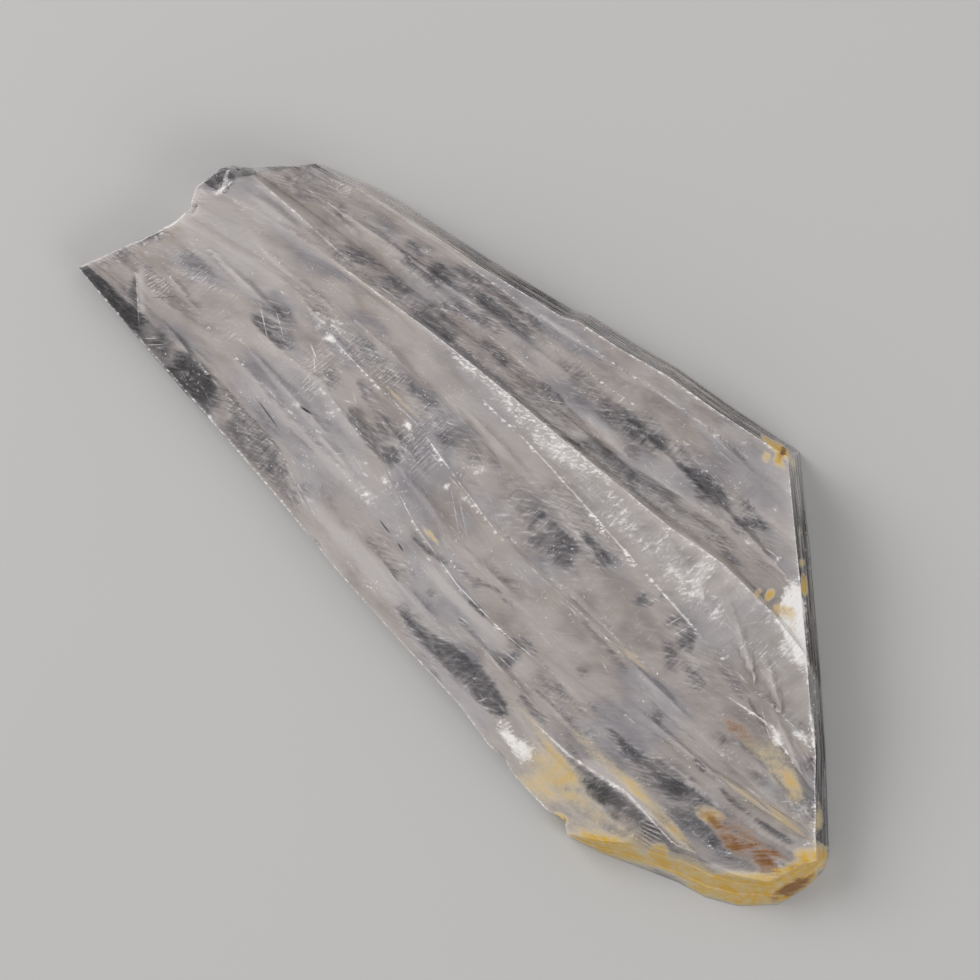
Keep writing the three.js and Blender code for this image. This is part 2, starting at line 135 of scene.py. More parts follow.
# %% Crest and groove lines, mm
STATIONS = np.array([-58, -50, -44, -37, -30, -22, -15, -8, 0, 7, 15, 22, 30, 37, 45, 51, 58], float)
STAGGER = 1.6
LINES = {
    "south skirt": (
        [-30] * 17,
        [0, 0, 0, 0.2, 0.4, 0.6, 0.8, 1, 1.4, 2, 2.6, 2.8, 2.8, 2.4, 0.8, 0, 0]),
    "south facet edge": (
        [-8, -8, -8.5, -8.7, -10, -11.2, -14.2, -16.3, -17.9, -19.1, -19.8, -21, -22.4, -22, -19.6,
         -16.3, -14],
        [3.9, 4.7, 5.2, 5.7, 6.2, 6.6, 6.9, 7, 7, 6.9, 6.8, 6.6, 6.2, 5.8, 4.9, 4.4, 4.2]),
    "south blade": (
        [-7, -7.2, -7.6, -7.9, -9, -10.4, -12.6, -14.8, -16.6, -15.9, -17.4, -18, -17.3, -18.6, -18.4,
         -15.2, -13.2],
        [4.2, 5.1, 5.8, 6.4, 7, 7.4, 7.7, 7.8, 7.8, 8.1, 8.4, 8.4, 8.6, 7.9, 6.2, 5.4, 4.6]),
    "ribbon foot": (
        [-5, -5.3, -5.8, -5.6, -6, -7.3, -8.5, -10.5, -12, -13.1, -14.5, -15.6, -15.6, -16.2, -16.3,
         -13.7, -12],
        [4.7, 5.9, 6.6, 7.3, 7.8, 8.4, 8.9, 9.2, 9.2, 9.1, 8.9, 8.6, 8.5, 8, 6.8, 6, 5]),
    "ribbon crest": (
        [-3.5, -3.7, -3.8, -1.9, -2.1, -3.2, -4.9, -8.2, -10.6, -11.6, -11.9, -12.4, -12.7, -12.2, -11.6,
         -10.6, -10],
        [5.2, 6.3, 7.1, 8.1, 8.5, 9, 9.5, 9.9, 10.1, 10, 9.8, 9.4, 8.9, 8.2, 7.4, 6.8, 6]),
    "ribbon groove": (
        [-2.5, -2.5, -2.4, -0.7, -0.7, -1.7, -3.4, -6.9, -9.5, -10.4, -10.7, -10.8, -10.3, -9.7, -9.6,
         -9.1, -8.8],
        [5.3, 6.4, 7.2, 8.1, 8.4, 8.9, 9.4, 9.8, 9.9, 9.9, 9.7, 9.4, 9, 8.6, 7.9, 7.2, 6.4]),
    "middle crest": (
        [0.5, 0.8, 1.5, 2.4, 2.9, 1.7, 1, -1, -3.2, -4, -4.6, -5.6, -6.8, -7.5, -8, -7.7, -7.6],
        [5.7, 6.8, 7.6, 8.6, 9.1, 9.8, 10.4, 11, 11.5, 11.7, 11.6, 11.2, 10.6, 10, 8.9, 7.8, 6.8]),
    "middle foot": (
        [2, 2.3, 3, 3.9, 4.2, 3, 2.4, 0.5, -2, -3, -3.6, -4.3, -4.7, -4.5, -5.5, -6.4, -6.8],
        [5.9, 7, 7.8, 8.7, 9.1, 9.6, 10.2, 10.8, 11.3, 11.5, 11.4, 11, 10.5, 10, 9, 8.1, 7]),
    "dell": (
        [3.4, 3.6, 4.4, 5.3, 6, 5.4, 4.8, 4, 2.6, 1.8, 0.4, -0.9, -1.8, -1.2, -3.6, -5.2, -6],
        [6.1, 7.2, 8, 8.9, 9.6, 10.2, 10.6, 11, 11.3, 11.3, 11.1, 10.7, 10.3, 9.9, 8.9, 8.3, 7.4]),
    "scarp foot": (
        [4.4, 4.7, 5.6, 7.6, 8.9, 9.1, 8.5, 7.8, 7, 5.8, 4.3, 3.1, 1.6, 0.8, 0.2, -3.2, -4.5],
        [6.3, 7.5, 8.3, 9.6, 10.8, 11.9, 12.3, 12.5, 12.6, 12.4, 12.1, 11.7, 11.2, 10.6, 9.7, 8.8, 8]),
    "main crest": (
        [7.5, 7.8, 9, 9.6, 9.8, 10.1, 10.1, 10, 9.7, 9.6, 9.4, 9.9, 9, 7.3, 3.5, 0, -3],
        [6.4, 9.8, 10.4, 10.9, 11.8, 13, 13.9, 14.7, 15.3, 15.4, 14.9, 14.5, 13.6, 12.6, 11, 9.8, 9]),
    "crest lip": (
        [10.5, 11.5, 11.7, 11.4, 10.8, 10.9, 10.9, 10.8, 10.5, 10.4, 10.3, 10.8, 10.1, 8.6, 5, 1.8, -1],
        [6, 9.6, 10, 10.4, 11, 12, 12.8, 13.5, 14, 14, 13.8, 13.4, 12.8, 12, 10.6, 9.5, 8.8]),
    "north groove": (
        [12, 12.2, 12.4, 12.6, 12.7, 12.6, 12.5, 12.3, 12.1, 11.8, 12, 12.3, 12.3, 11, 8, 5.6, 4],
        [5.2, 7.2, 8, 9, 9.6, 10.4, 11.2, 12, 12.5, 12.6, 12.5, 12.3, 11.8, 11.1, 10.1, 9.3, 8.6]),
    "north ledge": (
        [13, 13.2, 13.4, 13.8, 13.8, 14.1, 14, 13.8, 13.4, 12.7, 12.9, 13.6, 14, 13, 10.6, 9, 8],
        [5.2, 7, 8, 9.5, 10.3, 11.1, 11.8, 12.5, 13.1, 13.3, 13.2, 13, 12.3, 11.5, 10.4, 9.6, 9]),
    "north bench": (
        [16, 15.8, 15.9, 16.3, 17, 17.3, 17.5, 17.6, 17.6, 18.3, 17.7, 17, 17, 16.4, 15.2, 14.6, 14],
        [4.6, 6.8, 7.7, 9.5, 10.3, 11, 11.7, 12.5, 13.2, 13.5, 13.4, 13.2, 12.5, 11.7, 10.6, 9.8, 9.2]),
    "north shoulder": (
        [18, 17.6, 17.4, 17.5, 18.2, 18.8, 18.9, 19.1, 20, 20.6, 21, 21.2, 21, 20.8, 20.4, 20.2, 20],
        [4.2, 6.3, 7.3, 9.1, 9.9, 10.6, 11.3, 12.1, 12.8, 13, 12.9, 12.7, 12, 11.2, 10.2, 9.5, 9]),
    "north skirt": (
        [30] * 17,
        [0, 0, 1, 2, 3, 4, 5, 6, 7, 8, 8.5, 8.5, 8, 7, 6, 5, 5]),
}
NAMES = list(LINES)
LINE_Y, LINE_Z = np.array(list(LINES.values()), float).transpose(1, 0, 2)
INNER = np.abs(STATIONS) < STATIONS[-1]
print(len(LINES), "lines over", len(STATIONS), "stations")

# %% [markdown]
# ## Splinters and chips
#
# Splinters lie along the blades where a sliver stayed on, and chips are bites out of the rim. Each is one
# row of numbers, because they share one shape: a long double pyramid that is added to the facets or taken
# away.

# %% Splinters and chips, mm: x, y, z, length, width, height, turn in degrees
SPLINTERS = [
    (-41, 10.2, 10, 13, 2.2, 0.7, 3), (-29, 3.4, 8.8, 9, 2.2, 1, -10), (-27, -5.2, 7.9, 18, 2.2, 0.8, -9),
    (-12, -2.2, 9.5, 14, 2.4, 1, -14), (4, -7.4, 10, 20, 2.6, 1, -5), (10, -14.8, 7.9, 20, 1.8, 1.1, -9),
    (21, 6.8, 12.6, 12, 3.4, 1, -22), (30, -9.3, 8.9, 18, 1.6, 0.8, -2), (41, -0.9, 9.4, 11, 2.4, 0.9, -28),
    (41, -9.2, 7.9, 14, 1.5, 0.8, 2), (42.5, -13.6, 6.8, 12, 1.8, 0.9, 8), (27, -20, 6.6, 22, 2, 0.9, -7),
    (-14, 15.7, 11.4, 26, 2.2, 0.8, 2), (12, 15.4, 12.8, 20, 1.8, 0.8, -6),
    (-38, 1.5, 7.9, 14, 1.8, 0.6, -4), (-33, 5.5, 8.8, 16, 2, 0.6, -2), (-44, -3.6, 6.6, 9, 1.6, 0.6, -12),
    (-40, -8.5, 5.3, 10, 1.8, 0.7, -14), (-18, -7.5, 8.5, 14, 1.8, 0.7, -14),
    (-6, -5.5, 9.9, 16, 2.2, 0.8, -12), (-20, 5.5, 10, 14, 2, 0.6, -4), (-4, 4.8, 11.3, 16, 2.4, 0.7, -8),
    (9, 2.4, 11.2, 12, 2.6, 0.7, -14), (14, -3.5, 11, 16, 2.2, 0.8, -8), (27, -5.8, 10.5, 14, 2, 0.7, -6),
    (0, -15, 7.9, 18, 1.8, 0.8, -9), (20, -15.2, 8.4, 14, 1.8, 0.7, -8), (35, -11.8, 8.3, 12, 1.6, 0.6, -2),
    (36, -17.6, 7.7, 14, 1.8, 0.8, -4), (46, -6.5, 8.4, 10, 1.6, 0.6, -18),
    (48.5, -12.5, 6.4, 8, 1.6, 0.6, 6), (-30, 15, 10, 14, 2, 0.7, 4), (-2, 19.8, 12.4, 18, 2, 0.7, 4),
    (16, 20.5, 12.6, 14, 2.2, 0.7, -6), (24, 14.2, 12.4, 14, 2, 0.7, -10), (30, 5, 12, 12, 2, 0.8, -34),
    (36, 3.2, 11, 9, 1.8, 0.8, -36),
]
CHIPS = [
    (-48.8, 4.4, 7.6, 2.2, 1.4, 4.0, 70), (27.7, -24.9, 4, 2.4, 1.6, 3.6, 62),
    (21.4, 24.3, 11.6, 2.2, 1.6, 1.4, 60), (-6.6, 23, 11, 4, 1.2, 2.2, 20),
    (-38.4, -9.6, 6.6, 5, 2.4, 1.1, 84), (53.6, -14.9, 4.6, 3.4, 1.8, 1.6, 64),
    (32.6, 12, 12.6, 5, 2.6, 0.8, -46), (-49.4, 8.2, 10.4, 7.6, 5.2, 3.4, 80),
    (17.6, -23.4, 5.6, 4, 1.6, 1.6, -14), (-50.6, -1.2, 7, 6, 1.4, 1, 64), (-25, 20.4, 9.6, 4, 1, 1.2, 6),
    (-12, 21.7, 10.4, 5, 1, 1.2, 6), (3, 23.6, 11.3, 3.4, 1, 1.2, 8), (12, 24.4, 11.6, 3, 1, 1.2, 2),
    (-33, -12.9, 5.2, 4, 1, 1, -10), (-14, -16.9, 6.2, 4, 1, 1, -11), (6, -20.4, 6.4, 3.4, 1, 1, -9),
    (31, 17, 12.2, 3, 1, 1.2, -46), (39, 8.7, 11.2, 2.6, 1, 1.2, -48), (45.3, 1.6, 10.4, 3, 1, 1.2, -50),
    (50.6, -4.6, 8.3, 2.6, 1, 1.2, -50),
]
print(len(SPLINTERS), "splinters and", len(CHIPS), "chips")


def turned(x, y, cx, cy, turn):
    """Distances along and across a direction that is turned by so many degrees, from the centre (cx, cy)."""
    c, s = math.cos(math.radians(turn)), math.sin(math.radians(turn))
    return (x - cx) * c + (y - cy) * s, (y - cy) * c - (x - cx) * s


def spindle_height(x, y, spindle):
    """Height of a long double pyramid over its middle plane: full at the centre, 0 at its diamond rim."""
    cx, cy, _, length, width, height, turn = spindle
    u, v = turned(x, y, cx, cy, turn)
    return height * (1 - np.abs(u) / (length / 2) - np.abs(v) / (width / 2))


# %% [markdown]
# ## The height of the upper face
#
# The height at a place follows from the blade that it lies on. Every place gets a rung: the number of the
# line south of it plus its share of the way to the next one, so a facet is a straight line between two
# rungs.

# %% Height of the upper face
def lines_at(x):
    """Place across and height of every line at x; the stations of neighbours are staggered east and west."""
    ys, zs = [], []
    for row in range(len(NAMES)):
        stations = STATIONS + np.where(INNER, STAGGER * (-1) ** row, 0)
        ys.append(np.interp(x, stations, LINE_Y[row]))
        zs.append(np.interp(x, stations, LINE_Z[row]))
    return np.stack(ys), np.stack(zs)


def rung_at(x, y):
    """Which blade a point is on: the number of the line south of it plus its share of the way north."""
    ys, _ = lines_at(x)
    row = np.clip((y >= ys).sum(0) - 1, 0, len(ys) - 2)
    low = np.take_along_axis(ys, row[None], 0)[0]
    high = np.take_along_axis(ys, row[None] + 1, 0)[0]
    return row + np.clip((y - low) / (high - low), 0, 1)


def at_rung(table, rung):
    """Value of a per-line table at a rung, straight between the two lines."""
    row = np.minimum(rung.astype(int), len(NAMES) - 2)
    low = np.take_along_axis(table, row[None], 0)[0]
    high = np.take_along_axis(table, row[None] + 1, 0)[0]
    return low + (high - low) * (rung - row)


def faceted(x, y):
    """Height of the upper face: straight across between neighbouring lines, plus splinters, less chips."""
    _, zs = lines_at(x)
    z = at_rung(zs, rung_at(x, y))
    for splinter in SPLINTERS:
        height = spindle_height(x, y, splinter)
        z = np.where(height > 0, np.maximum(z, splinter[2] + height), z)
    for chip in CHIPS:
        height = spindle_height(x, y, chip)
        z = np.where((height > 0) & (chip[2] + height > z), np.minimum(z, chip[2] - height), z)
    return z


middle = np.zeros(1)
print("height at the middle, mm:", faceted(middle, middle)[0].round(1))

# %% [markdown]
# ## Fine relief
#
# Real cleavage is never quite flat: it carries fibres, feathers and small steps, and its torn crests are
# cut across by short hackles. Smooth random fields, stretched along or across the blades, give them a
# natural spread. Distances across are measured between the lines, so every fibre bends with its blade.

# %% Random fields
FIBRE_HEIGHT = 0.03
SWELL_HEIGHT = 0.14
HACKLE_HEIGHT = 0.34
SUNK = 0.08  # lowers all of it, so that the swells don't stand proud of the solid


def flow_across(x, y):
    """Distance across the blades, mm, that is the same all along a crest: the mean place of its line."""
    rung = rung_at(x, y)
    return np.interp(rung, np.arange(len(NAMES)), LINE_Y.mean(1))


def field(u, v, seed):
    """Smooth random field, 0 to 1: random values at whole numbers, blended by 3t^2 - 2t^3 between them."""
    table = np.random.default_rng(seed).random((256, 256))
    iu, iv = np.floor(u).astype(int), np.floor(v).astype(int)
    fu, fv = u - iu, v - iv
    fu, fv = fu * fu * (3 - 2 * fu), fv * fv * (3 - 2 * fv)
    iu, iv, ju, jv = iu % 256, iv % 256, (iu + 1) % 256, (iv + 1) % 256
    low = table[iu, iv] * (1 - fu) + table[ju, iv] * fu
    high = table[iu, jv] * (1 - fu) + table[ju, jv] * fu
    return low * (1 - fv) + high * fv


def smooth(low, high, value):
    """0 below low, 1 above high, 3t^2 - 2t^3 between."""
    t = np.clip((value - low) / (high - low), 0, 1)
    return t * t * (3 - 2 * t)


def torn(x, y):
    """Where the surface is torn across: the scarp below the main crest and its white band, 0 to 1."""
    rung = rung_at(x, y)
    scarp = smooth(8.9, 9.3, rung) * smooth(10.25, 9.9, rung)
    return scarp * smooth(-18, -8, x) * smooth(46, 38, x)


def relief(x, y):
    """Small heights, mm: low fibres and swells along the blades, and hackles across the torn scarp."""
    v = flow_across(x, y)
    bend = 1.5 * field(x / 14, y / 6, 1)
    fibres = 1 - np.abs(2 * field(x / 13, (v + bend) / 0.8, 2) - 1)
    swells = field(x / 9, (y + bend) / 3.4, 3)
    hackles = field((x - 0.35 * y) / 0.9, y / 4, 5) - 0.5
    return FIBRE_HEIGHT * fibres + SWELL_HEIGHT * swells + HACKLE_HEIGHT * hackles * torn(x, y) - SUNK


def upper(x, y):
    """Height of the finished upper face: the facets plus the fine relief."""
    return faceted(x, y) + relief(x, y)


print("relief, mm: hackles", HACKLE_HEIGHT, "swells", SWELL_HEIGHT, "fibres", FIBRE_HEIGHT)


# %% [markdown]
# ## One closed skin
#
# The skin is a grid over the upper face, whose four borders follow the rim, a wall under each border
# point, and one flat face below. The rim lies where the leaning wall meets the upper face, found by
# repeating the height and the lean a few times.

# %% Rim
ALONG = 372  # steps of the grid along the blades
DENSE = 801  # points across in a first, finer sheet, where the blade lines are looked up
FIRST_GUESS = 6.0
RIM_ROUNDS = 14


def wall_point(base, z, layers_below):
    """Where the wall stands at height z: the resting outline, leaned, sloped and stepped in by layers."""
    shift = base[:, 2] * np.minimum(z, LAYERS[-1]) + layers_below * LEDGE
    return base[:, :2] + LEAN * z[:, None] + base[:, 3:] * shift[:, None]


def layers_under(z):
    """How many layers lie below a height, blended over a short drop so that the rim can be found."""
    return smooth(-0.3, 0.3, z[:, None] - LAYERS).sum(1)


def rim_of(west_shares, east_shares):
    """The closed rim: outline points in order south, east, north, west, and the rim above each of them.

    Height and place depend on each other, so each round moves the height halfway to the last place's.
    """
    run = np.linspace(0, 1, ALONG + 1)
    shares = [run, east_shares, run, 1 - west_shares[::-1]]
    base = np.concatenate([along(side, share)[:-1] for side, share in zip(SIDES, shares)])
    z = np.full(len(base), FIRST_GUESS)
    for _ in range(RIM_ROUNDS):
        spot = wall_point(base, z, layers_under(z))
        z = 0.5 * z + 0.5 * upper(*spot.T)
    return base, np.column_stack([wall_point(base, z, layers_under(z)), z])


def four_sides(loop, across):
    """Cuts a closed loop back into its south, east, north and west sides, all running west to east or up."""
    south = loop[: ALONG + 1]
    east = loop[ALONG : ALONG + across + 1]
    north = loop[ALONG + across : 2 * ALONG + across + 1][::-1]
    west = np.concatenate([loop[2 * ALONG + across :], loop[:1]])[::-1]
    return south, east, north, west


def patch(south, east, north, west):
    """Coons patch: the sum of the two ways of ruling between opposite sides, less the corners' own blend."""
    s = np.linspace(0, 1, len(south))[:, None, None]
    t = np.linspace(0, 1, len(west))[None, :, None]
    ruled = (1 - t) * south[:, None] + t * north[:, None] + (1 - s) * west[None] + s * east[None]
    corners = (1 - s) * ((1 - t) * south[0] + t * north[0]) + s * ((1 - t) * south[-1] + t * north[-1])
    return ruled - corners


dense = np.linspace(0, 1, DENSE)
_, rim = rim_of(dense, dense)
sheet = patch(*[side[:, :2] for side in four_sides(rim, DENSE - 1)])
print("rim height, mm:", rim[:, 2].min().round(1), "to", rim[:, 2].max().round(1))

# %% [markdown]
# ## Rows that follow the crests
#
# A plain grid would cut across the crests and turn them into saws. So the place of every blade line is
# looked up in each column, and the rows between two lines are shared out evenly. Where lines leave the
# crystal at an end, their rows are squeezed together at the rim and stay a hair apart.

# %% Rows on the blade lines
ROW_PITCH = 0.27
SQUEEZE = 0.0012  # least gap between two lines, as a share of the width

ys, _ = lines_at(sheet[..., 0].ravel())
ys = ys.reshape(len(NAMES), *sheet.shape[:2])
knots = [np.zeros(ALONG + 1)]
for row in range(1, len(NAMES) - 1):
    below = sheet[..., 1] < ys[row]
    index = np.clip(below.sum(1), 1, DENSE - 1)
    gap = sheet[..., 1] - ys[row]
    before = np.take_along_axis(gap, index[:, None] - 1, 1)[:, 0]
    after = np.take_along_axis(gap, index[:, None], 1)[:, 0]
    knots.append((index - 1 + np.clip(before / (before - after), 0, 1)) / (DENSE - 1))
knots = np.stack(knots + [np.ones(ALONG + 1)], 1)
rank = np.arange(knots.shape[1])
knots = np.maximum.accumulate(np.maximum(knots, rank * SQUEEZE), 1)
knots = np.minimum(knots, 1 - (rank[-1] - rank) * SQUEEZE)

middle_width = np.linalg.norm(sheet[:, -1] - sheet[:, 0], axis=1).mean()
rows_in_band = np.maximum(2, np.round(np.diff(knots, axis=1).mean(0) * middle_width / ROW_PITCH)).astype(int)
line_rows = np.r_[0, np.cumsum(rows_in_band)]
ACROSS = int(line_rows[-1])
place = np.interp(np.arange(ACROSS + 1), line_rows, rank)
low = np.minimum(place.astype(int), rank[-1] - 1)
shares = knots[:, low] + (knots[:, low + 1] - knots[:, low]) * (place - low)
print("rows across:", ACROSS, "with the lines on rows", line_rows[1:-1].tolist())

# %% Points of the upper face
base, rim = rim_of(shares[0], shares[-1])
index = np.minimum((shares * (DENSE - 1)).astype(int), DENSE - 2)
part = (shares * (DENSE - 1) - index)[..., None]
near = np.take_along_axis(sheet, index[..., None], 1)
far = np.take_along_axis(sheet, index[..., None] + 1, 1)
flat = (near + (far - near) * part).reshape(-1, 2)

grid = np.arange(len(flat)).reshape(ALONG + 1, ACROSS + 1)
loop = np.concatenate([grid[:-1, 0], grid[-1, :-1], grid[::-1, -1][:-1], grid[0, ::-1][:-1]])
flat[loop] = rim[:, :2]
top = np.column_stack([flat, upper(*flat.T)])
top[loop] = rim
print("upper face:", len(top), "points, highest at", top[:, 2].max().round(2), "mm")

# %% [markdown]
# ## Walls in cleavage layers
#
# The walls are a stack of layers that each step back a little from the one below. Two rows of points at
# nearly the same height make each step a real ledge; the steps wander up and down along the wall and grow
# wider and narrower, as broken layers do.

# %% Points of the walls
LEDGE_DROP = 0.05
ROWS_IN_LAYER = 5
WANDER = 0.7
ROUGH_WALL = 0.06
ROUGH_FROM = 0.6  # the roughness grows over this depth below the rim
UNDER_INSET = 0.6  # width of the worn bevel round the resting face

perimeter = np.r_[0, np.cumsum(np.hypot(*np.diff(base[:, :2], axis=0).T))]
levels = []
for number, height in enumerate(LAYERS[::-1]):
    wander = WANDER * (field(perimeter / 9, perimeter * 0 + number, 21) - 0.5)
    levels.append(np.minimum(height + wander, rim[:, 2] - LEDGE_DROP * 2 * (number + 1)))
levels.append(np.full(len(base), 0.0))
walls = []
upper_z = rim[:, 2]
steps_here = layers_under(rim[:, 2])
for number, level in enumerate(levels):
    for row in range(1, ROWS_IN_LAYER + 1):
        z = upper_z + (level - upper_z) * row / ROWS_IN_LAYER
        walls.append(np.column_stack([wall_point(base, z, steps_here), z]))
    if number < len(LAYERS):
        steps_here = np.minimum(steps_here, len(LAYERS) - 1 - number)
        level = level - LEDGE_DROP
        walls.append(np.column_stack([wall_point(base, level, steps_here), level]))
    upper_z = level
normal = base[:, 3:]
for ring in walls[:-1]:
    layers = field(perimeter / 6, ring[:, 2] / 0.5, 22)
    flutes = field(perimeter / 1.3, ring[:, 2] / 3, 23)
    depth = np.clip((rim[:, 2] - ring[:, 2]) / ROUGH_FROM, 0, 1)
    ring[:, :2] += normal * (ROUGH_WALL * (layers + flutes - 1) * depth)[:, None]
inner = walls[-1].copy()
inner[:, :2] += normal * UNDER_INSET
points = np.concatenate([top] + walls + [inner])
print("walls:", len(walls), "rings of", len(rim), "points")

# %% [markdown]
# ## The mesh
#
# Four-sided faces join neighbouring grid points and neighbouring rings, and one many-sided face closes the
# underside. The skin is shaded smooth, except at steep folds and along the blade lines, whose edges are
# marked sharp so that every facet catches the light as one flat plane.

# %% Mesh
SHARP_ANGLE = math.radians(36)

quads = np.stack([grid[:-1, :-1], grid[1:, :-1], grid[1:, 1:], grid[:-1, 1:]], 2).reshape(-1, 4)
rings = [loop] + [grid.size + len(loop) * row + np.arange(len(loop)) for row in range(len(walls) + 1)]
wall_quads = [np.stack([a, b, np.roll(b, -1), np.roll(a, -1)], 1) for a, b in zip(rings[:-1], rings[1:])]
quads = np.concatenate([quads] + wall_quads)
under = rings[-1][::-1]

mesh = bpy.data.meshes.new("calcite_crystal_skin")
mesh.from_pydata((points * MM).tolist(), [], quads.tolist() + [under.tolist()])
mesh.shade_smooth()
mesh.set_sharp_from_angle(angle=SHARP_ANGLE)
ends = np.empty(2 * len(mesh.edges), int)
mesh.edges.foreach_get("vertices", ends)
on_line = np.zeros(len(points), int)
for number, row in enumerate(line_rows[1:-1], 1):
    on_line[grid[:, row]] = number
ends = on_line[ends].reshape(-1, 2)
crest_edges = (ends[:, 0] > 0) & (ends[:, 0] == ends[:, 1])
sharp = np.zeros(len(mesh.edges), bool)
mesh.attributes["sharp_edge"].data.foreach_get("value", sharp)
mesh.attributes["sharp_edge"].data.foreach_set("value", sharp | crest_edges)
crystal = bpy.data.objects.new("calcite_crystal_skin", mesh)
bpy.context.scene.collection.objects.link(crystal)
print("skin:", len(points), "points,", 2 * len(quads) + len(under) - 2, "triangles")

# %% [markdown]
# ## Where it is clear, milky, frosted and stained
#
# A crystal like this is clear only in windows. Between them tiny fluid pockets make it milky, broken
# crests are frosted white, and iron has crept in from the east end. Each is laid down as soft lens-shaped
# spots with frayed rims. A spot is full on the blade that its centre lies on and weaker on the neighbours,
# because every blade is a slice of its own. The result is kept on the mesh as one number per point.

# %% Soft spots
x, y, z = points.T
rung = rung_at(x, y)
blade = np.minimum(rung.astype(int), len(NAMES) - 2)
flow_v = flow_across(x, y)
fray = 2.4 * (field(x / 5, flow_v / 1.1, 11) - 0.5) + 1.2 * (field(x / 1.6, flow_v / 0.5, 12) - 0.5)
NEXT_BLADE = 0.35  # strength of a spot on the blades beside its own
SPREAD = 0.7  # a spot has faded out at this share of its stated length and width
FRAY_ALONG = 0.14
FRAY_ACROSS = 0.12


def spots(table, next_blade=NEXT_BLADE):
    """Sum of soft lenses: strength times (1 - r^2), r being the frayed distance over SPREAD times size."""
    total = np.zeros(len(x))
    for cx, cy, length, width, turn, strength in table:
        u, v = turned(x, y, cx, cy, turn)
        u = u + FRAY_ALONG * min(length, 5) * fray
        v = v + FRAY_ACROSS * min(width, 3) * fray
        own = blade == int(rung_at(np.array([cx]), np.array([cy]))[0])
        reach = (u / (SPREAD * length)) ** 2 + (v / (SPREAD * width)) ** 2
        total += strength * np.clip(1 - reach, 0, 1) * np.where(own, 1, next_blade)
    return np.clip(total, 0, 1)


print("frayed by, mm:", (FRAY_ALONG * fray).std().round(2))
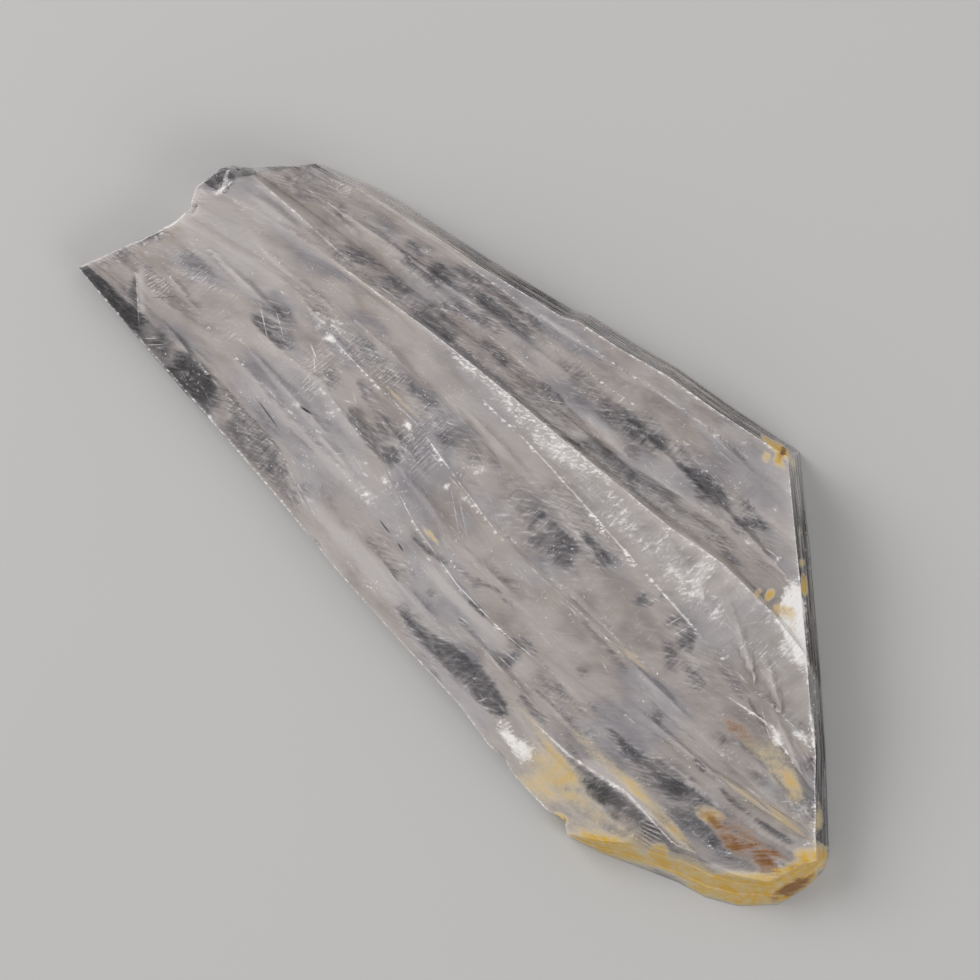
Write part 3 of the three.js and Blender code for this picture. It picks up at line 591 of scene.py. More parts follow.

# %% [markdown]
# ## The clear windows
#
# A window is a part of a blade that grew without pockets, so light goes in and little of it comes back: it
# is the darkest thing on the crystal, and its dark is also painted into the colour, as painted shade of the
# ground seen through it. Windows follow the blades, and most end at a crest. Painting them by hand would
# work too, but a table can be read, moved and corrected one window at a time.

# %% Clear windows, mm: x, y, length, width, turn in degrees, strength
WINDOWS = [
    # the west tip and the south edge
    (-52.3, -9, 6, 1.8, -10, 1), (-47.4, -8.6, 3.6, 3.2, -40, 1), (-49.6, -9.8, 5, 1.8, -10, 1),
    (-52.4, -5.4, 5, 2, 62, 0.8), (-50.6, -1.4, 5, 1.4, 62, 0.6), (-44, -0.2, 5, 2.4, 0, 0.35),
    (-45.6, -10.6, 4, 1, -10, 0.4), (-33, -12.4, 10, 1.4, -10, 0.3), (-25.5, -13.6, 9, 1.8, -10, 0.2),
    (-42.2, -9.9, 2.4, 2, -10, 0.7), (-37.2, -10.6, 4.2, 4.4, 0, 1.8), (-34.6, -11.3, 3, 3, -10, 0.7),
    (-30.2, -11, 4, 3, -10, 0.5), (-23.5, -12.4, 8, 3.4, -12, 0.45), (-27.5, -12.4, 6, 3, -10, 0.35),
    (-18.6, -13.2, 3, 2.6, 50, 0.6), (-20, -14.6, 5, 1.5, -10, 0.4), (1, -17.6, 6, 1, -10, 0.9),
    (5.5, -17.5, 9, 2.4, -8, 1.1), (10.2, -17.9, 8, 3.2, -8, 1.1), (12, -18.4, 5, 2.4, -10, 0.8),
    (14.2, -18.6, 2, 1.4, -30, 0.5), (3, -19.2, 10, 0.7, -11, 0.5),
    # between the ribbon and the dell
    (-34.3, -0.2, 4, 3.2, -25, 0.6), (-33, 1.6, 3.4, 2, -20, 0.5), (-31.4, -0.9, 3, 2.4, 0, 0.6),
    (-24.3, -0.9, 1.6, 2.4, 80, 0.7), (-26, 0.8, 3, 2, -20, 0.4), (-19.5, 0.2, 4, 2, -20, 0.6),
    (-15.4, -2.3, 5, 3.6, -40, 0.6), (-13.8, -3.9, 2.4, 2, -30, 0.5), (-23, 4, 7, 2.4, -12, 0.35),
    (-15, 3.2, 7, 2.6, -8, 0.5), (-8.6, 2.3, 5, 2.4, -8, 0.5), (-5.7, 1.9, 1.6, 1.6, 0, 0.5),
    (-3.6, 3.2, 2, 2, 0, 0.5), (6.8, 2, 14, 6.4, 0, 0.35), (2.4, 1.6, 7, 6, 0, 0.2),
    (4.2, 0.8, 4, 1.2, 88, 0.6), (5.7, -1.3, 2.4, 1.6, 60, 1), (7.8, 1.2, 4, 2.6, 0, 1),
    (7.4, -0.9, 4, 2.6, 0, 0.9), (9.4, -1, 2, 2, 0, 0.5), (11.3, 2, 4, 2.4, -20, 0.8),
    (13, 1.6, 2, 1.6, -30, 0.5), (11, -1.6, 3, 1.6, -30, 0.4), (20.7, 2.5, 3, 1, 60, 0.7),
    (18.9, 1.1, 1.8, 1.4, 80, 0.6), (23.6, 1.4, 2.4, 1.2, 60, 0.7), (25.7, 0.9, 3, 2, -60, 0.8),
    (25.5, -1.6, 3, 2, -60, 0.5), (24, 0, 13, 6, -8, 0.2), (29.3, -2, 3, 2.4, 0, 0.5),
    (31, 1, 5, 1.6, -8, 0.3), (33.5, -0.2, 4, 1.6, -12, 0.4), (-8, -9.1, 2.4, 0.8, -15, 0.3),
    (-3, -9.5, 5, 0.8, 5, 0.5), (-4, -0.6, 12, 1.6, -14, 0.25), (-32, 4.6, 12, 1.2, 0, 0.25),
    (9.6, 4, 13, 2.2, -10, 0.4), (-46, -4.4, 9, 3, 0, 0.2), (2.5, -9.3, 4, 0.9, -5, 0.5),
    (6, -6.4, 6, 1.4, -5, 0.35), (7.5, -8.4, 2, 0.8, -10, 0.6), (11.8, -11, 3, 1.2, -10, 0.8),
    (15, -11.7, 3, 0.5, -8, 0.5), (19, -9.6, 2, 1.8, 60, 0.4), (17.5, -13.3, 4, 2.4, 0, 0.5),
    (11.2, -14, 2.6, 4, 0, 0.9), (-4.5, -13, 4, 1.8, -10, 0.5), (-8, -12.5, 4, 2, -10, 0.4),
    (-0.4, -13.2, 1.6, 1.4, 0, 0.5), (4, -13.7, 5, 1, -6, 0.5),
    # the groove and the benches in the north
    (-27, 12, 17, 3, 3, 0.3), (-12, 12.2, 18, 3, 0, 0.3), (3, 11.8, 16, 2.8, 0, 0.25),
    (-38, 14.4, 15, 5, 10, 0.25), (-28, 16, 10, 4, 0, 0.15), (-41, 13, 7, 2, 30, 0.25),
    (2, 15.6, 13, 2.8, 0, 0.3), (25, 15.5, 15, 8, 0, 0.25), (-31, 11.6, 4, 2, 30, 0.5),
    (-29, 12.2, 4, 1.6, 30, 0.45), (-25.6, 11.6, 4, 2, 20, 0.6), (-24.8, 12.6, 3, 2, 0, 0.4),
    (-19.5, 11.5, 5, 2, 10, 0.6), (-35, 11.2, 4, 1.2, -10, 0.3), (-39.6, 13.5, 2, 1.4, 0, 0.5),
    (-41.2, 16.7, 1.6, 0.8, 30, 0.8), (-42.4, 15.6, 1.4, 0.5, 0, 0.7), (-43, 13, 6, 3, 50, 0.3),
    (-34.4, 14.5, 2.4, 1.6, -30, 0.4), (-25.4, 16.2, 3, 2.6, 60, 0.5), (-21.8, 16.2, 3.6, 2.6, 0, 0.75),
    (-19.5, 17.6, 3, 2, 0, 0.5), (-18, 14.6, 12, 2.4, 0, 0.35), (-44, 14.6, 8, 3, 40, 0.2),
    (-18, 13.4, 10, 1.4, 0, 0.2), (-18, 16.6, 10, 1.4, 0, 0.3), (-14.5, 17.4, 8, 2.2, 0, 0.7),
    (-10, 17.4, 5, 2, 0, 0.5), (-14.5, 15, 4, 1.2, 0, 0.6), (-3, 16.8, 5, 1.4, 0, 0.35),
    (-11.5, 13, 4, 1.6, 0, 0.5), (-7.6, 12.4, 5, 2, 0, 0.3), (-3.4, 13, 3, 1.2, 0, 0.5),
    (-2, 12, 8, 2, 10, 0.4), (4.6, 11.4, 5, 1.6, 22, 0.7), (2, 10.4, 3, 0.7, 10, 0.5),
    (8.5, 11.2, 5, 1.6, 5, 0.4), (8.6, 16.5, 5, 3.2, 0, 0.9), (5.5, 16, 3, 2, -20, 0.5),
    (3.5, 15.3, 5, 2, 0, 0.35), (7.5, 13.8, 2, 2, -60, 0.5), (13.4, 16.3, 3.6, 2, -10, 0.5),
    (12.2, 17.3, 2, 1, 0, 0.4), (17.3, 15.6, 5, 2.2, -5, 0.9), (12, 11.4, 9, 2.4, 0, 0.5),
    (20, 11.4, 9, 2.4, 0, 0.35), (16.9, 14.5, 2, 1.2, -50, 0.5), (24, 16, 3, 1.6, 30, 0.6),
    (22, 17, 3, 2, 30, 0.4), (22.3, 13.8, 3, 2, 60, 0.35), (27, 12.6, 5, 1, 0, 0.35),
    (28.6, 10, 4, 1, 0, 0.5), (24.5, 10.8, 4, 1, 0, 0.35), (-48.4, 8.4, 6, 2.6, 84, 1.6),
    # the east end
    (22, -13, 5, 1, 0, 0.4), (27, -12.8, 4, 1.6, -10, 0.6), (29, -13.5, 3, 1.6, 0, 0.4),
    (22.5, -12, 3, 1.4, -40, 0.35), (28.9, -8.3, 1.4, 1.4, 0, 0.7), (33.3, -13, 6.4, 4.2, 0, 0.8),
    (35.8, -12.7, 3, 2, 40, 0.4), (38.8, -12.9, 2.4, 2, 40, 0.6), (38, -14.9, 7, 2.6, -8, 0.55),
    (42.8, -15.8, 3, 1.6, 60, 0.6), (44.6, -16.3, 2.4, 1.6, 60, 0.6), (37, -5.5, 4, 0.8, 5, 0.4),
    (36, -6.3, 3, 0.8, 10, 0.35), (42, -6.5, 4, 1.4, 0, 0.35), (39, -4.9, 8, 0.6, 5, 0.3),
    (45.8, -1.8, 2.4, 1.6, -40, 0.7), (47.3, -2.8, 1.4, 0.6, -45, 0.5), (29.5, -18.9, 4, 1.8, 0, 0.5),
    (27, -18.6, 5, 1.6, 0, 0.3), (33, -19, 9, 2, 2, 0.6), (42, -21, 8, 1.6, 15, 0.3),
    (23.8, -17.3, 2.6, 0.6, -10, 0.6), (53, -15.5, 4, 1.6, 50, 0.4),
]
print(len(WINDOWS), "windows")

# %% [markdown]
# ## Milk, frost and iron
#
# Clouds of milk drown the blades' own tones, and the thickest are almost white. Frost is bruised or
# crumbled crystal on the surface. Iron-bearing water left a straw-yellow skin round the east end, and
# where it stayed longest, in the cracks and in two dents, the skin has turned to rust.

# %% Milk clouds, mm: the same columns
CLOUDS = [
    (-42.5, 5, 13, 6, -4, 1), (-43.4, 3.6, 14, 5, -6, 2.2), (-41, 9.6, 12, 3, 0, 1.0),
    (-4, -16, 16, 2.4, -9, 1), (-32, 14.6, 8, 3, 0, 0.5), (-14, 6.8, 16, 3, -3, 0.6),
    (26, 19.5, 10, 5, -48, 0.8), (30, -21.6, 14, 3, 0, 0.4), (-12, -14.4, 12, 2, -9, 0.8),
    (1.5, 8.4, 7, 1.8, -6, 1), (-22, -6, 16, 1.6, -9, 0.3), (-32, -3.4, 16, 1.6, -8, 0.6),
    (30, -4.5, 9, 3, 0, 0.4), (2, 11.5, 4.4, 1, 34, 0.8), (4, 13.6, 7, 1, 0, 0.6),
    (12, 13.8, 5, 1.6, 20, 0.6), (3, -12, 12, 1.6, -9, 1), (13.6, -13.4, 3, 2.6, 0, 0.8),
    (43, -17.4, 6, 1.8, 0, 1), (28, -17.2, 6, 1, 0, 0.9), (-2, 15.4, 8, 1, 0, 0.5),
]
print(len(CLOUDS), "clouds")

# %% Frost, yellow iron and rust, mm: the same columns
FROSTED = [
    (34.4, 9.9, 9, 3.6, -50, 1.1), (33.2, 10.2, 5, 3, -50, 0.6), (36.9, 7.6, 4, 1.4, -50, 0.5),
    (20, 24.1, 1.8, 0.8, 0, 0.7), (22.8, 24.3, 1.4, 0.8, -40, 0.7), (24.5, 18.5, 0.7, 0.7, 0, 1),
    (24.4, 13.4, 1.1, 0.5, 10, 0.9), (28.3, 14.1, 1, 0.5, 90, 0.8), (23.5, 15.8, 3, 1.6, 20, 0.35),
    (22, 8.6, 5, 1.6, -55, 0.3), (23.9, 6, 5, 1.8, -50, 0.3), (23, 7, 14, 6, -10, 0.2),
    (9, 7, 28, 4, -11, 0.22), (-4, 9.2, 16, 1.6, -3, 0.15), (44, -3, 10, 4, -40, 0.3),
    (-13, -7.2, 12, 3, -15, 0.15), (-25, 3.6, 9, 3, -20, 0.2), (-9, -1.2, 14, 2, -14, 0.15),
    (-28, -1.4, 8, 3, -20, 0.2), (14, 17.4, 12, 3, -6, 0.2), (42, -6.6, 12, 3, 0, 0.2),
    (21.7, 5.8, 4, 3, -30, 0.3), (41, -1.9, 2.4, 1.6, -30, 0.7), (43.2, 0, 2.4, 1, 0, 0.7),
    (48.4, -6.9, 5, 2.4, 20, 0.5), (51.3, -8.5, 4.4, 1.8, -70, 0.6), (50, -14.8, 1.6, 1.4, 0, 0.7),
    (50.3, -13.2, 2, 0.9, -40, 0.6), (16, -20.4, 2.6, 2, -20, 0.7), (19.2, -21, 3.4, 2.6, 0, 0.9),
    (17.6, -20.8, 3, 1.4, 0, 0.5), (-44.3, 8.2, 2.4, 1.4, 0, 0.6), (-47.3, 8.3, 3, 0.9, 80, 0.8),
    (-49.8, -0.2, 4, 1, 75, 0.5), (-49.8, -3, 1.2, 0.9, 0, 0.6), (-45.3, 5, 2.4, 1, 20, 0.3),
    (-28.4, 3.6, 4.6, 2.8, -20, 0.55), (-26.9, 2.6, 2, 1, 30, 0.6), (-25.4, -5.8, 1.2, 0.8, 0, 0.7),
    (-22, -4.2, 2, 1, 30, 0.4), (-12.8, -8.9, 3, 1.6, -10, 0.5), (-9.3, -7.6, 1.8, 1, 50, 0.4),
    (-12, -6.4, 2, 0.8, 0, 0.4), (-14, 0.2, 1.4, 0.7, -20, 0.8), (-6.2, -2.6, 1.4, 0.8, -35, 0.7),
    (-4.5, 1.2, 1.6, 1.4, 0, 0.6), (-3, -2.4, 5, 0.8, -8, 0.5), (1, 8.5, 6, 2.2, -6, 0.4),
    (-13, 9.4, 3.4, 1, 0, 0.6), (-7.6, 9.2, 4, 1.4, 0, 0.4), (11, -3.6, 4, 0.7, -5, 0.4),
    (37.5, -6.9, 3, 1.6, 30, 0.4), (42, -6, 2, 0.7, 10, 0.4), (-25, 17.1, 2, 0.7, 0, 0.4),
    (39, 7.6, 6, 1, -48, 0.5), (43, 2, 6, 0.8, -48, 0.6),
]
YELLOW = [
    (20.6, 24.3, 3.4, 1, 0, 1.3), (21.3, 23.8, 2, 1, 90, 1.3), (23.4, 24, 1, 0.9, 0, 0.9),
    (20.3, 22.6, 1, 0.8, 0, 1.1), (22.2, 22.8, 2, 0.6, -15, 0.8), (30.8, 15.5, 0.9, 0.8, 0, 0.9),
    (32.8, 13.7, 2.4, 1, -50, 1.3), (28.5, 18.3, 1.2, 0.8, -45, 0.4), (30.2, 10.3, 1.3, 0.8, 90, 1.2),
    (28.9, 9.8, 1, 0.6, 80, 0.7), (32.6, 9.9, 2.4, 1.3, 15, 1.3), (34.4, 9.1, 1.6, 1, -50, 0.5),
    (43.4, -4.3, 7, 2.4, -25, 0.45), (39.5, -4.2, 4, 1.6, -10, 0.35), (46, -5, 4, 2, -50, 0.35),
    (40.4, -13.6, 3.6, 1.8, 10, 0.8), (43.6, -14.6, 4, 1.2, -10, 0.4), (50.5, -6.3, 3, 1.2, -55, 0.7),
    (53.2, -11.5, 6, 4, 75, 1.4), (52.8, -14.3, 5, 4, 60, 1.3), (51, -16.6, 5, 4, 45, 1.3),
    (54.6, -11, 4, 2, 85, 1), (48.6, -18.6, 6, 4, 32, 1.2), (45.2, -20, 6, 3.6, 18, 0.9),
    (42, -21, 6, 3.4, 12, 0.7), (50.8, -18.4, 4, 2, 40, 1), (47, -20.8, 6, 2, 22, 1),
    (38.7, -20.9, 1.8, 2, 60, 0.6), (38.4, -22, 9, 3, 15, 0.6), (33.5, -23.4, 7, 2.4, 18, 0.5),
    (27.2, -21.3, 3, 1, 30, 0.4), (27.3, -24.5, 1.6, 1, 0, 1.2), (30, -22, 18, 5, 0, 0.35),
    (22.7, -20.8, 7, 3.8, -15, 0.35), (22.8, -23.2, 4, 1.6, 0, 0.4), (27.5, -16, 11, 1.5, -5, 0.4),
    (35, -16.8, 9, 1.8, -10, 0.45), (33, -24.4, 9, 2, 18, 0.7), (39.6, -18, 4, 1.8, -14, 0.3),
    (20, -18.2, 7, 1.2, -14, 0.4), (24, -19.5, 6, 1.8, -8, 0.3), (43.5, -9, 9, 1.2, 2, 0.4),
    (48, -8.7, 5, 1.2, 0, 0.4), (-16.2, 1.9, 5.6, 0.5, -5, 0.4), (-4.3, -8.05, 2.6, 0.5, -8, 0.8),
    (22.5, -4.8, 4, 0.7, -5, 0.4),
]
RUST = [
    (40.6, -13.5, 4.6, 1.6, 8, 0.55), (43.4, -14.4, 5, 1.6, -10, 0.85), (46.6, -13.5, 7, 2.4, -15, 0.85),
    (48.8, -13.5, 3.4, 2.8, 60, 0.6), (49.5, -12.1, 5, 1, 8, 0.6), (37.2, -3.9, 4.4, 1.7, -8, 0.65),
    (53.2, -14.8, 3.6, 1.5, 62, 1.4), (54.2, -12, 3, 0.6, 75, 0.4), (21.35, 24.35, 1.1, 0.6, 90, 1.2),
    (32.7, 9.8, 1.2, 0.8, 0, 0.5), (32.4, 14.4, 1.4, 0.8, -45, 0.4), (27.3, -24.7, 1.2, 0.7, 0, 0.6),
]
print(len(FROSTED), "frosted,", len(YELLOW), "yellow and", len(RUST), "rusty spots")

# %% [markdown]
# ## Crests that catch the light
#
# The sharp edge of a blade crumbles into a chain of tiny facets, which shows as a broken white line: partly
# white frost and partly painted glints and a painted highlight along the edge. Each stretch is stated by
# where it starts and ends, how strong and how wide its frayed band is. The band lies on the south side,
# which was torn, and the edge itself is one thin line of mesh points.

# %% Bright crest lines, by blade line: from x, to x, strength, width of the band in mm
CREST_LINES = {
    "main crest": [
        (-31, -16, 0.8, 0.5), (-18, -3, 1.0, 1.0), (-5, 9, 1.0, 1.6), (7, 30, 0.7, 0.4),
        (28, 40, 0.5, 0.3),
    ],
    "scarp foot": [(-10, 0, 0.9, 0.5), (-2, 17, 1.0, 1.0), (17, 26, 0.9, 0.5), (24, 46, 0.6, 0.3)],
    "middle crest": [(-28, -12, 0.7, 0.4), (-12, 2, 0.9, 0.6), (0, 22, 0.55, 0.3)],
    "middle foot": [(2, 28, 0.5, 0.3)],
    "ribbon crest": [(-36, -10, 0.5, 0.3), (-10, 14, 1.0, 0.5)],
    "ribbon foot": [(-36, -12, 0.5, 0.3), (8, 46, 0.5, 0.3)],
    "ribbon groove": [(24, 50, 0.5, 0.3)],
    "south blade": [(18, 42, 1.0, 0.4)],
    "south facet edge": [(-40, 22, 0.5, 0.3)],
    "dell": [(34, 44, 1.0, 0.5)],
    "north ledge": [(-24, -6, 0.5, 0.3), (8, 26, 0.4, 0.3)],
    "north shoulder": [(-24, 18, 0.6, 0.3)],
    "north bench": [(-8, 20, 0.5, 0.3)],
    "crest lip": [(-44, -32, 0.7, 0.3), (-30, 26, 0.3, 0.3)],
}
END_FADE = 2  # mm over which a stretch comes and goes
NORTH_CUT = 8  # how much faster the band fades on the side that wasn't torn

ys, _ = lines_at(x)
nearest = np.abs(ys - y).argmin(0)
beyond = y - np.take_along_axis(ys, nearest[None], 0)[0]
line_distance = np.where(beyond > 0, NORTH_CUT * beyond, -beyond)
crest = np.zeros(len(x))
line = np.zeros(len(x))
for name, stretches in CREST_LINES.items():
    number = NAMES.index(name)
    for start, stop, strength, width in stretches:
        here = smooth(start - END_FADE, start + END_FADE, x) * smooth(stop + END_FADE, stop - END_FADE, x)
        band = (nearest == number) * np.clip(1 - line_distance / width, 0, 1)
        crest = np.maximum(crest, strength * here * band)
        line = np.maximum(line, strength * here * (on_line == number))
print("bright lines along", len(CREST_LINES), "blade lines")

# %% [markdown]
# ## Milk and breaks inside
#
# Each blade has its own milkiness, so the tone steps at every blade line, and each splinter has a lighter
# south side and a darker north side, painted light and shade. Cleavage cracks within the crystal are flat:
# each shows as a sheet with one sharp edge that fades to the other side. A milky one is pale; a clean one
# lets the ground show and is painted dark, as painted shade of the ground, and some are painted shadows
# below a ledge.

# %% How milky each blade is, from west to east; minus is clear
MILK_STATIONS = [-45, -15, 15, 45]
BLADE_MILK = {
    "south skirt": (-0.7, 0.2, 0.5, 0), "south facet edge": (-0.4, 0.3, -0.2, -0.6),
    "south blade": (0.2, 0.5, -0.2, -0.5), "ribbon foot": (-0.4, 0.6, 0, -0.4),
    "ribbon crest": (-0.1, 0.1, 0.1, -0.2), "ribbon groove": (-0.2, 0, 0.2, -0.3),
    "middle crest": (-0.1, -0.2, -0.3, -0.2), "middle foot": (-0.1, -0.1, 0.2, -0.6),
    "dell": (0.1, 0.1, 0.25, 0), "scarp foot": (0, 0.3, -0.1, -0.4),
    "main crest": (-0.3, -0.6, -0.4, 0.3), "crest lip": (0.1, 0.1, 0.4, -1),
    "north groove": (0.3, -0.1, 0.3, 0), "north ledge": (-0.2, -0.2, -0.2, 0),
    "north bench": (-0.4, -0.3, -0.3, 0.9), "north shoulder": (0.6, 0.3, 0.1, 0.8),
}
own_milk = np.stack([np.interp(x, MILK_STATIONS, BLADE_MILK[name]) for name in NAMES[:-1]])
# painted light and shade: a splinter's south side is painted lighter and its north side darker
PAINTED_SIDE_SHADE = 0.35  # a splinter's two sides differ by this
FACET_EDGE = 0.15  # mm over which they change
STAND_BLUR = 0.2
milkiness = np.take_along_axis(own_milk, blade[None], 0)[0]
for splinter in SPLINTERS:
    _, v = turned(x, y, splinter[0], splinter[1], splinter[6])
    stands = np.clip(spindle_height(x, y, splinter) / STAND_BLUR, 0, 1)
    milkiness += PAINTED_SIDE_SHADE * stands * np.clip(-v / FACET_EDGE, -1, 1)
print("milkiness from", milkiness.min().round(1), "to", milkiness.max().round(1))

# %% Sharp edges, mm: strength, depth of the fade (minus is southward), points of the edge from the west
EDGE_BLUR = 0.25  # mm
EDGE_TAPER = 0.25  # each end of a break fades over this share of its length
# painted shade: behind each edge the colour is darkened for the shaded ground; some are painted shadows
# under a ledge, as along the ribbon foot
SHADED_BREAKS = [
    (0.55, -3.4, [(-38.9, -8.6), (-35, -8.9), (-30, -9.7), (-25, -10.5), (-20.5, -12)]),
    (0.3, 2.6, [(-20, 10.3), (-10, 10.25), (0, 10), (7, 9.85), (14, 9.7), (22, 10)]),
    (0.5, 0.5, [(-40, 9.9), (-30, 9.95), (-22, 10.25), (-10, 10.2), (0, 9.95), (7, 9.8), (15, 9.65),
                (24, 10)]),
    (0.8, -4, [(-49.8, -4.6), (-45.2, -9.8)]),
    (0.45, -0.9, [(-37, -5.6), (-33, -5.7), (-28.5, -6.6), (-14, -8.3)]),
    (0.4, -0.9, [(-25.4, -8.2), (-22, -8.5), (-19.5, -8.8)]),
    (0.8, 2.6, [(-36.5, -1.35), (-34.5, -1.7), (-31, -2), (-29.5, -1.8)]),
    (0.5, 1.4, [(-27, -2.1), (-25, -1.8), (-22.8, -2.5)]),
    (0.6, 3.6, [(-21.5, -2.9), (-19, -3.7), (-16.5, -4.5), (-12.6, -4.9)]),
    (0.4, -2, [(-25, -5.2), (-22, -5), (-18.6, -4.6)]),
    (1.0, 2.6, [(-22.4, 10.4), (-19, 10.4), (-14.6, 10.5)]),
    (0.5, 2.4, [(-34, 10.1), (-28, 10.4), (-22, 10.5)]),
    (0.8, -2.3, [(-21, 18.6), (-13, 18.7), (-7, 18.9)]), (0.5, -1.4, [(-19, 15.6), (-11.6, 15.6)]),
    (0.4, -2.4, [(-14, 13.6), (-8, 13.5), (-5, 13.3)]),
    (0.7, -1.4, [(-5.8, 13.6), (-3, 13.75), (-0.8, 13.2)]), (0.5, -1.2, [(-1.6, 13.2), (2.6, 12.8)]),
    (0.6, -1.8, [(1.4, 12.7), (4.3, 12.3), (8.2, 12.2)]),
    (0.5, -1.6, [(5.6, 12.2), (9, 12.2), (11.5, 12.5)]),
    (0.6, -2.4, [(-4.6, 16.2), (0, 16.5), (5, 17.2), (10.4, 17.2)]),
    (1.0, -1.5, [(14.8, 16.1), (17, 16.6), (19, 16.4), (20.6, 15.8)]),
    (0.5, -2.4, [(8, 12.3), (12, 12.6), (16.8, 13)]), (0.4, -2.6, [(16.4, 12.8), (20, 13), (25, 12.7)]),
    (0.5, -1.2, [(10.4, 17.6), (13, 17.4), (15.6, 17)]), (0.8, 1.1, [(-6.8, -9.7), (-3, -9.9), (0, -9.7)]),
    (0.5, -1, [(-1, -8.6), (1, -8.7), (4.4, -9.1)]), (0.7, -0.6, [(2, -8.7), (5.5, -8.1), (8.4, -8.7)]),
    (0.9, 0.7, [(3.2, -11.4), (6.8, -11.75)]), (0.6, 2.4, [(-10.6, -13.1), (-6.5, -13.9), (-3.4, -14.5)]),
    (0.9, 1.2, [(9.6, -11.8), (12.8, -11.95)]),
    (0.9, 2.0, [(-3.6, -17.1), (0, -17.6), (5, -18.5), (9.6, -19.2)]),
    (0.9, -2.2, [(5.6, -15.9), (10, -16.8), (15.2, -17.9)]),
    (0.7, -1.3, [(14, -15.5), (17, -16), (20.2, -16.2)]),
    (0.9, -1.6, [(22.6, -18.6), (25.5, -17.9), (35.6, -18.2)]),
    (0.5, -1.2, [(14, -4.6), (19, -5.3), (24, -6.4)]), (0.3, -0.8, [(25, -6.9), (31, -7.6), (37, -7.7)]),
    (0.9, -0.8, [(34.6, -9.2), (37.3, -9.7)]), (0.9, 0.9, [(38.6, -10.5), (42, -11), (45, -10.6)]),
    (0.9, -1.2, [(44, -10.3), (47, -10.2), (50.6, -9.9)]),
    (0.8, -2.6, [(30.5, -12), (34, -11.9), (37, -12)]),
    (0.7, -1.2, [(35, -14.3), (38, -14.4), (40.6, -15)]),
    (0.6, 0.9, [(33.6, 1.2), (36, -0.8), (40.5, -2.7), (46.6, -6)]),
    (0.5, -0.8, [(34.6, 1.45), (40, 1.4), (43.5, 1.1), (45, 0.4)]),
]
MILKY_SHEETS = [
    (0.6, 2, [(-49.8, -4.6), (-45.2, -9.8)]),
    (0.5, -2.2, [(-37, -1.3), (-31, -2), (-25, -1.9), (-19, -3.7), (-13.5, -4.8)]),
    (0.5, -2.4, [(-38.4, -5.8), (-33, -5.9), (-28, -6.8), (-19, -7.9), (-11, -9.3)]),
    (0.4, 1.6, [(-0.4, 13.4), (3.5, 12.9), (9.4, 12.2)]),
    (0.4, -1.6, [(-46.6, 11.6), (-40, 11.7), (-35, 11.1)]),
    (0.7, 2, [(24, -17.9), (31, -17.8), (37, -18.3)]),
    (0.5, -1.2, [(14.2, -17.3), (18, -18.3), (23.6, -20.4)]),
    (0.6, -2, [(-4, -10.7), (3, -11.4), (12, -12.1)]),
    (0.6, 1.6, [(43, -18.6), (46, -17.8), (50.4, -15.2)]),
    (0.5, -2.2, [(16.4, 9.6), (18, 9.95), (24, 9.8), (30, 9)]),
]


def breaks(table):
    """Largest of the sheets: strength times a frayed fade that is full at the edge and nothing at the depth.

    It is cut sharply at the edge, and it comes and goes over EDGE_TAPER of the length at both ends.
    """
    total = np.zeros(len(x))
    for strength, depth, edge in table:
        edge_x, edge_y = np.array(edge).T
        off = (y - np.interp(x, edge_x, edge_y)) * np.sign(depth)
        from_end = np.minimum(x - edge_x[0], edge_x[-1] - x)
        ends = smooth(0, EDGE_TAPER * (edge_x[-1] - edge_x[0]), from_end)
        deep = off / abs(depth)
        fade = np.clip(1.15 * (1 - deep) + 0.3 * fray * deep, 0, 1)
        total = np.maximum(total, strength * ends * fade * smooth(-EDGE_BLUR, EDGE_BLUR, off))
    return total


print(len(SHADED_BREAKS), "clean breaks,", len(MILKY_SHEETS), "milky sheets")

# %% [markdown]
# ## Combed patches and the walls
#
# In some patches fine parallel marks run across the blades like the teeth of a comb: they are the edges of
# cleavage sheets. They could be mesh, but at a few tenths of a millimetre apart they are cheaper as a
# pattern, so only where they lie is kept. On the walls, windows and frost fade with the depth below the
# rim, and the iron has run a few millimetres farther down. The north and east walls are stacks of clear
# layers, painted dark as painted shade of the ground seen through them.

# %% Combed patches, mm: the same columns as the windows
COMBED = [
    (4, 1.2, 10, 7, 0, 0.7), (-14, -2.6, 6, 5, 0, 0.6), (-19, 12, 5, 3, 0, 0.5), (5, 11.4, 5, 2, 0, 0.8),
    (-22, 3.6, 10, 3, 0, 0.6), (-12, 3, 12, 3, 0, 0.5), (12.6, 12, 4, 2, 0, 0.8), (29, -2, 5, 4, 0, 0.6),
    (11.4, 2.4, 5, 2, -10, 0.8), (33, -13, 6, 3, 0, 0.8), (6, -16.8, 10, 2, 0, 0.6),
    (13, 7, 16, 3, -6, 0.9), (24, -14.6, 14, 1.2, 0, 0.8), (-1, 8.4, 10, 2, -5, 0.5),
]
print(len(COMBED), "combed patches")

# %% Walls: how clear each stretch is, and how far down the paint of the upper face reaches
# how clear each stretch is also sets how dark it is painted, as painted shade
NORTH_X = [-30, -14, -9, -6, 8, 12, 18, 23]
NORTH_CLEAR = [0, 0.9, 0.9, 0.4, 0.4, 0.7, 0.6, 0.2]
EAST_X = [23, 29]
EAST_CLEAR = [0.2, 1]
WALL_FROM = 0.5
IRON_DEPTH = 4.5

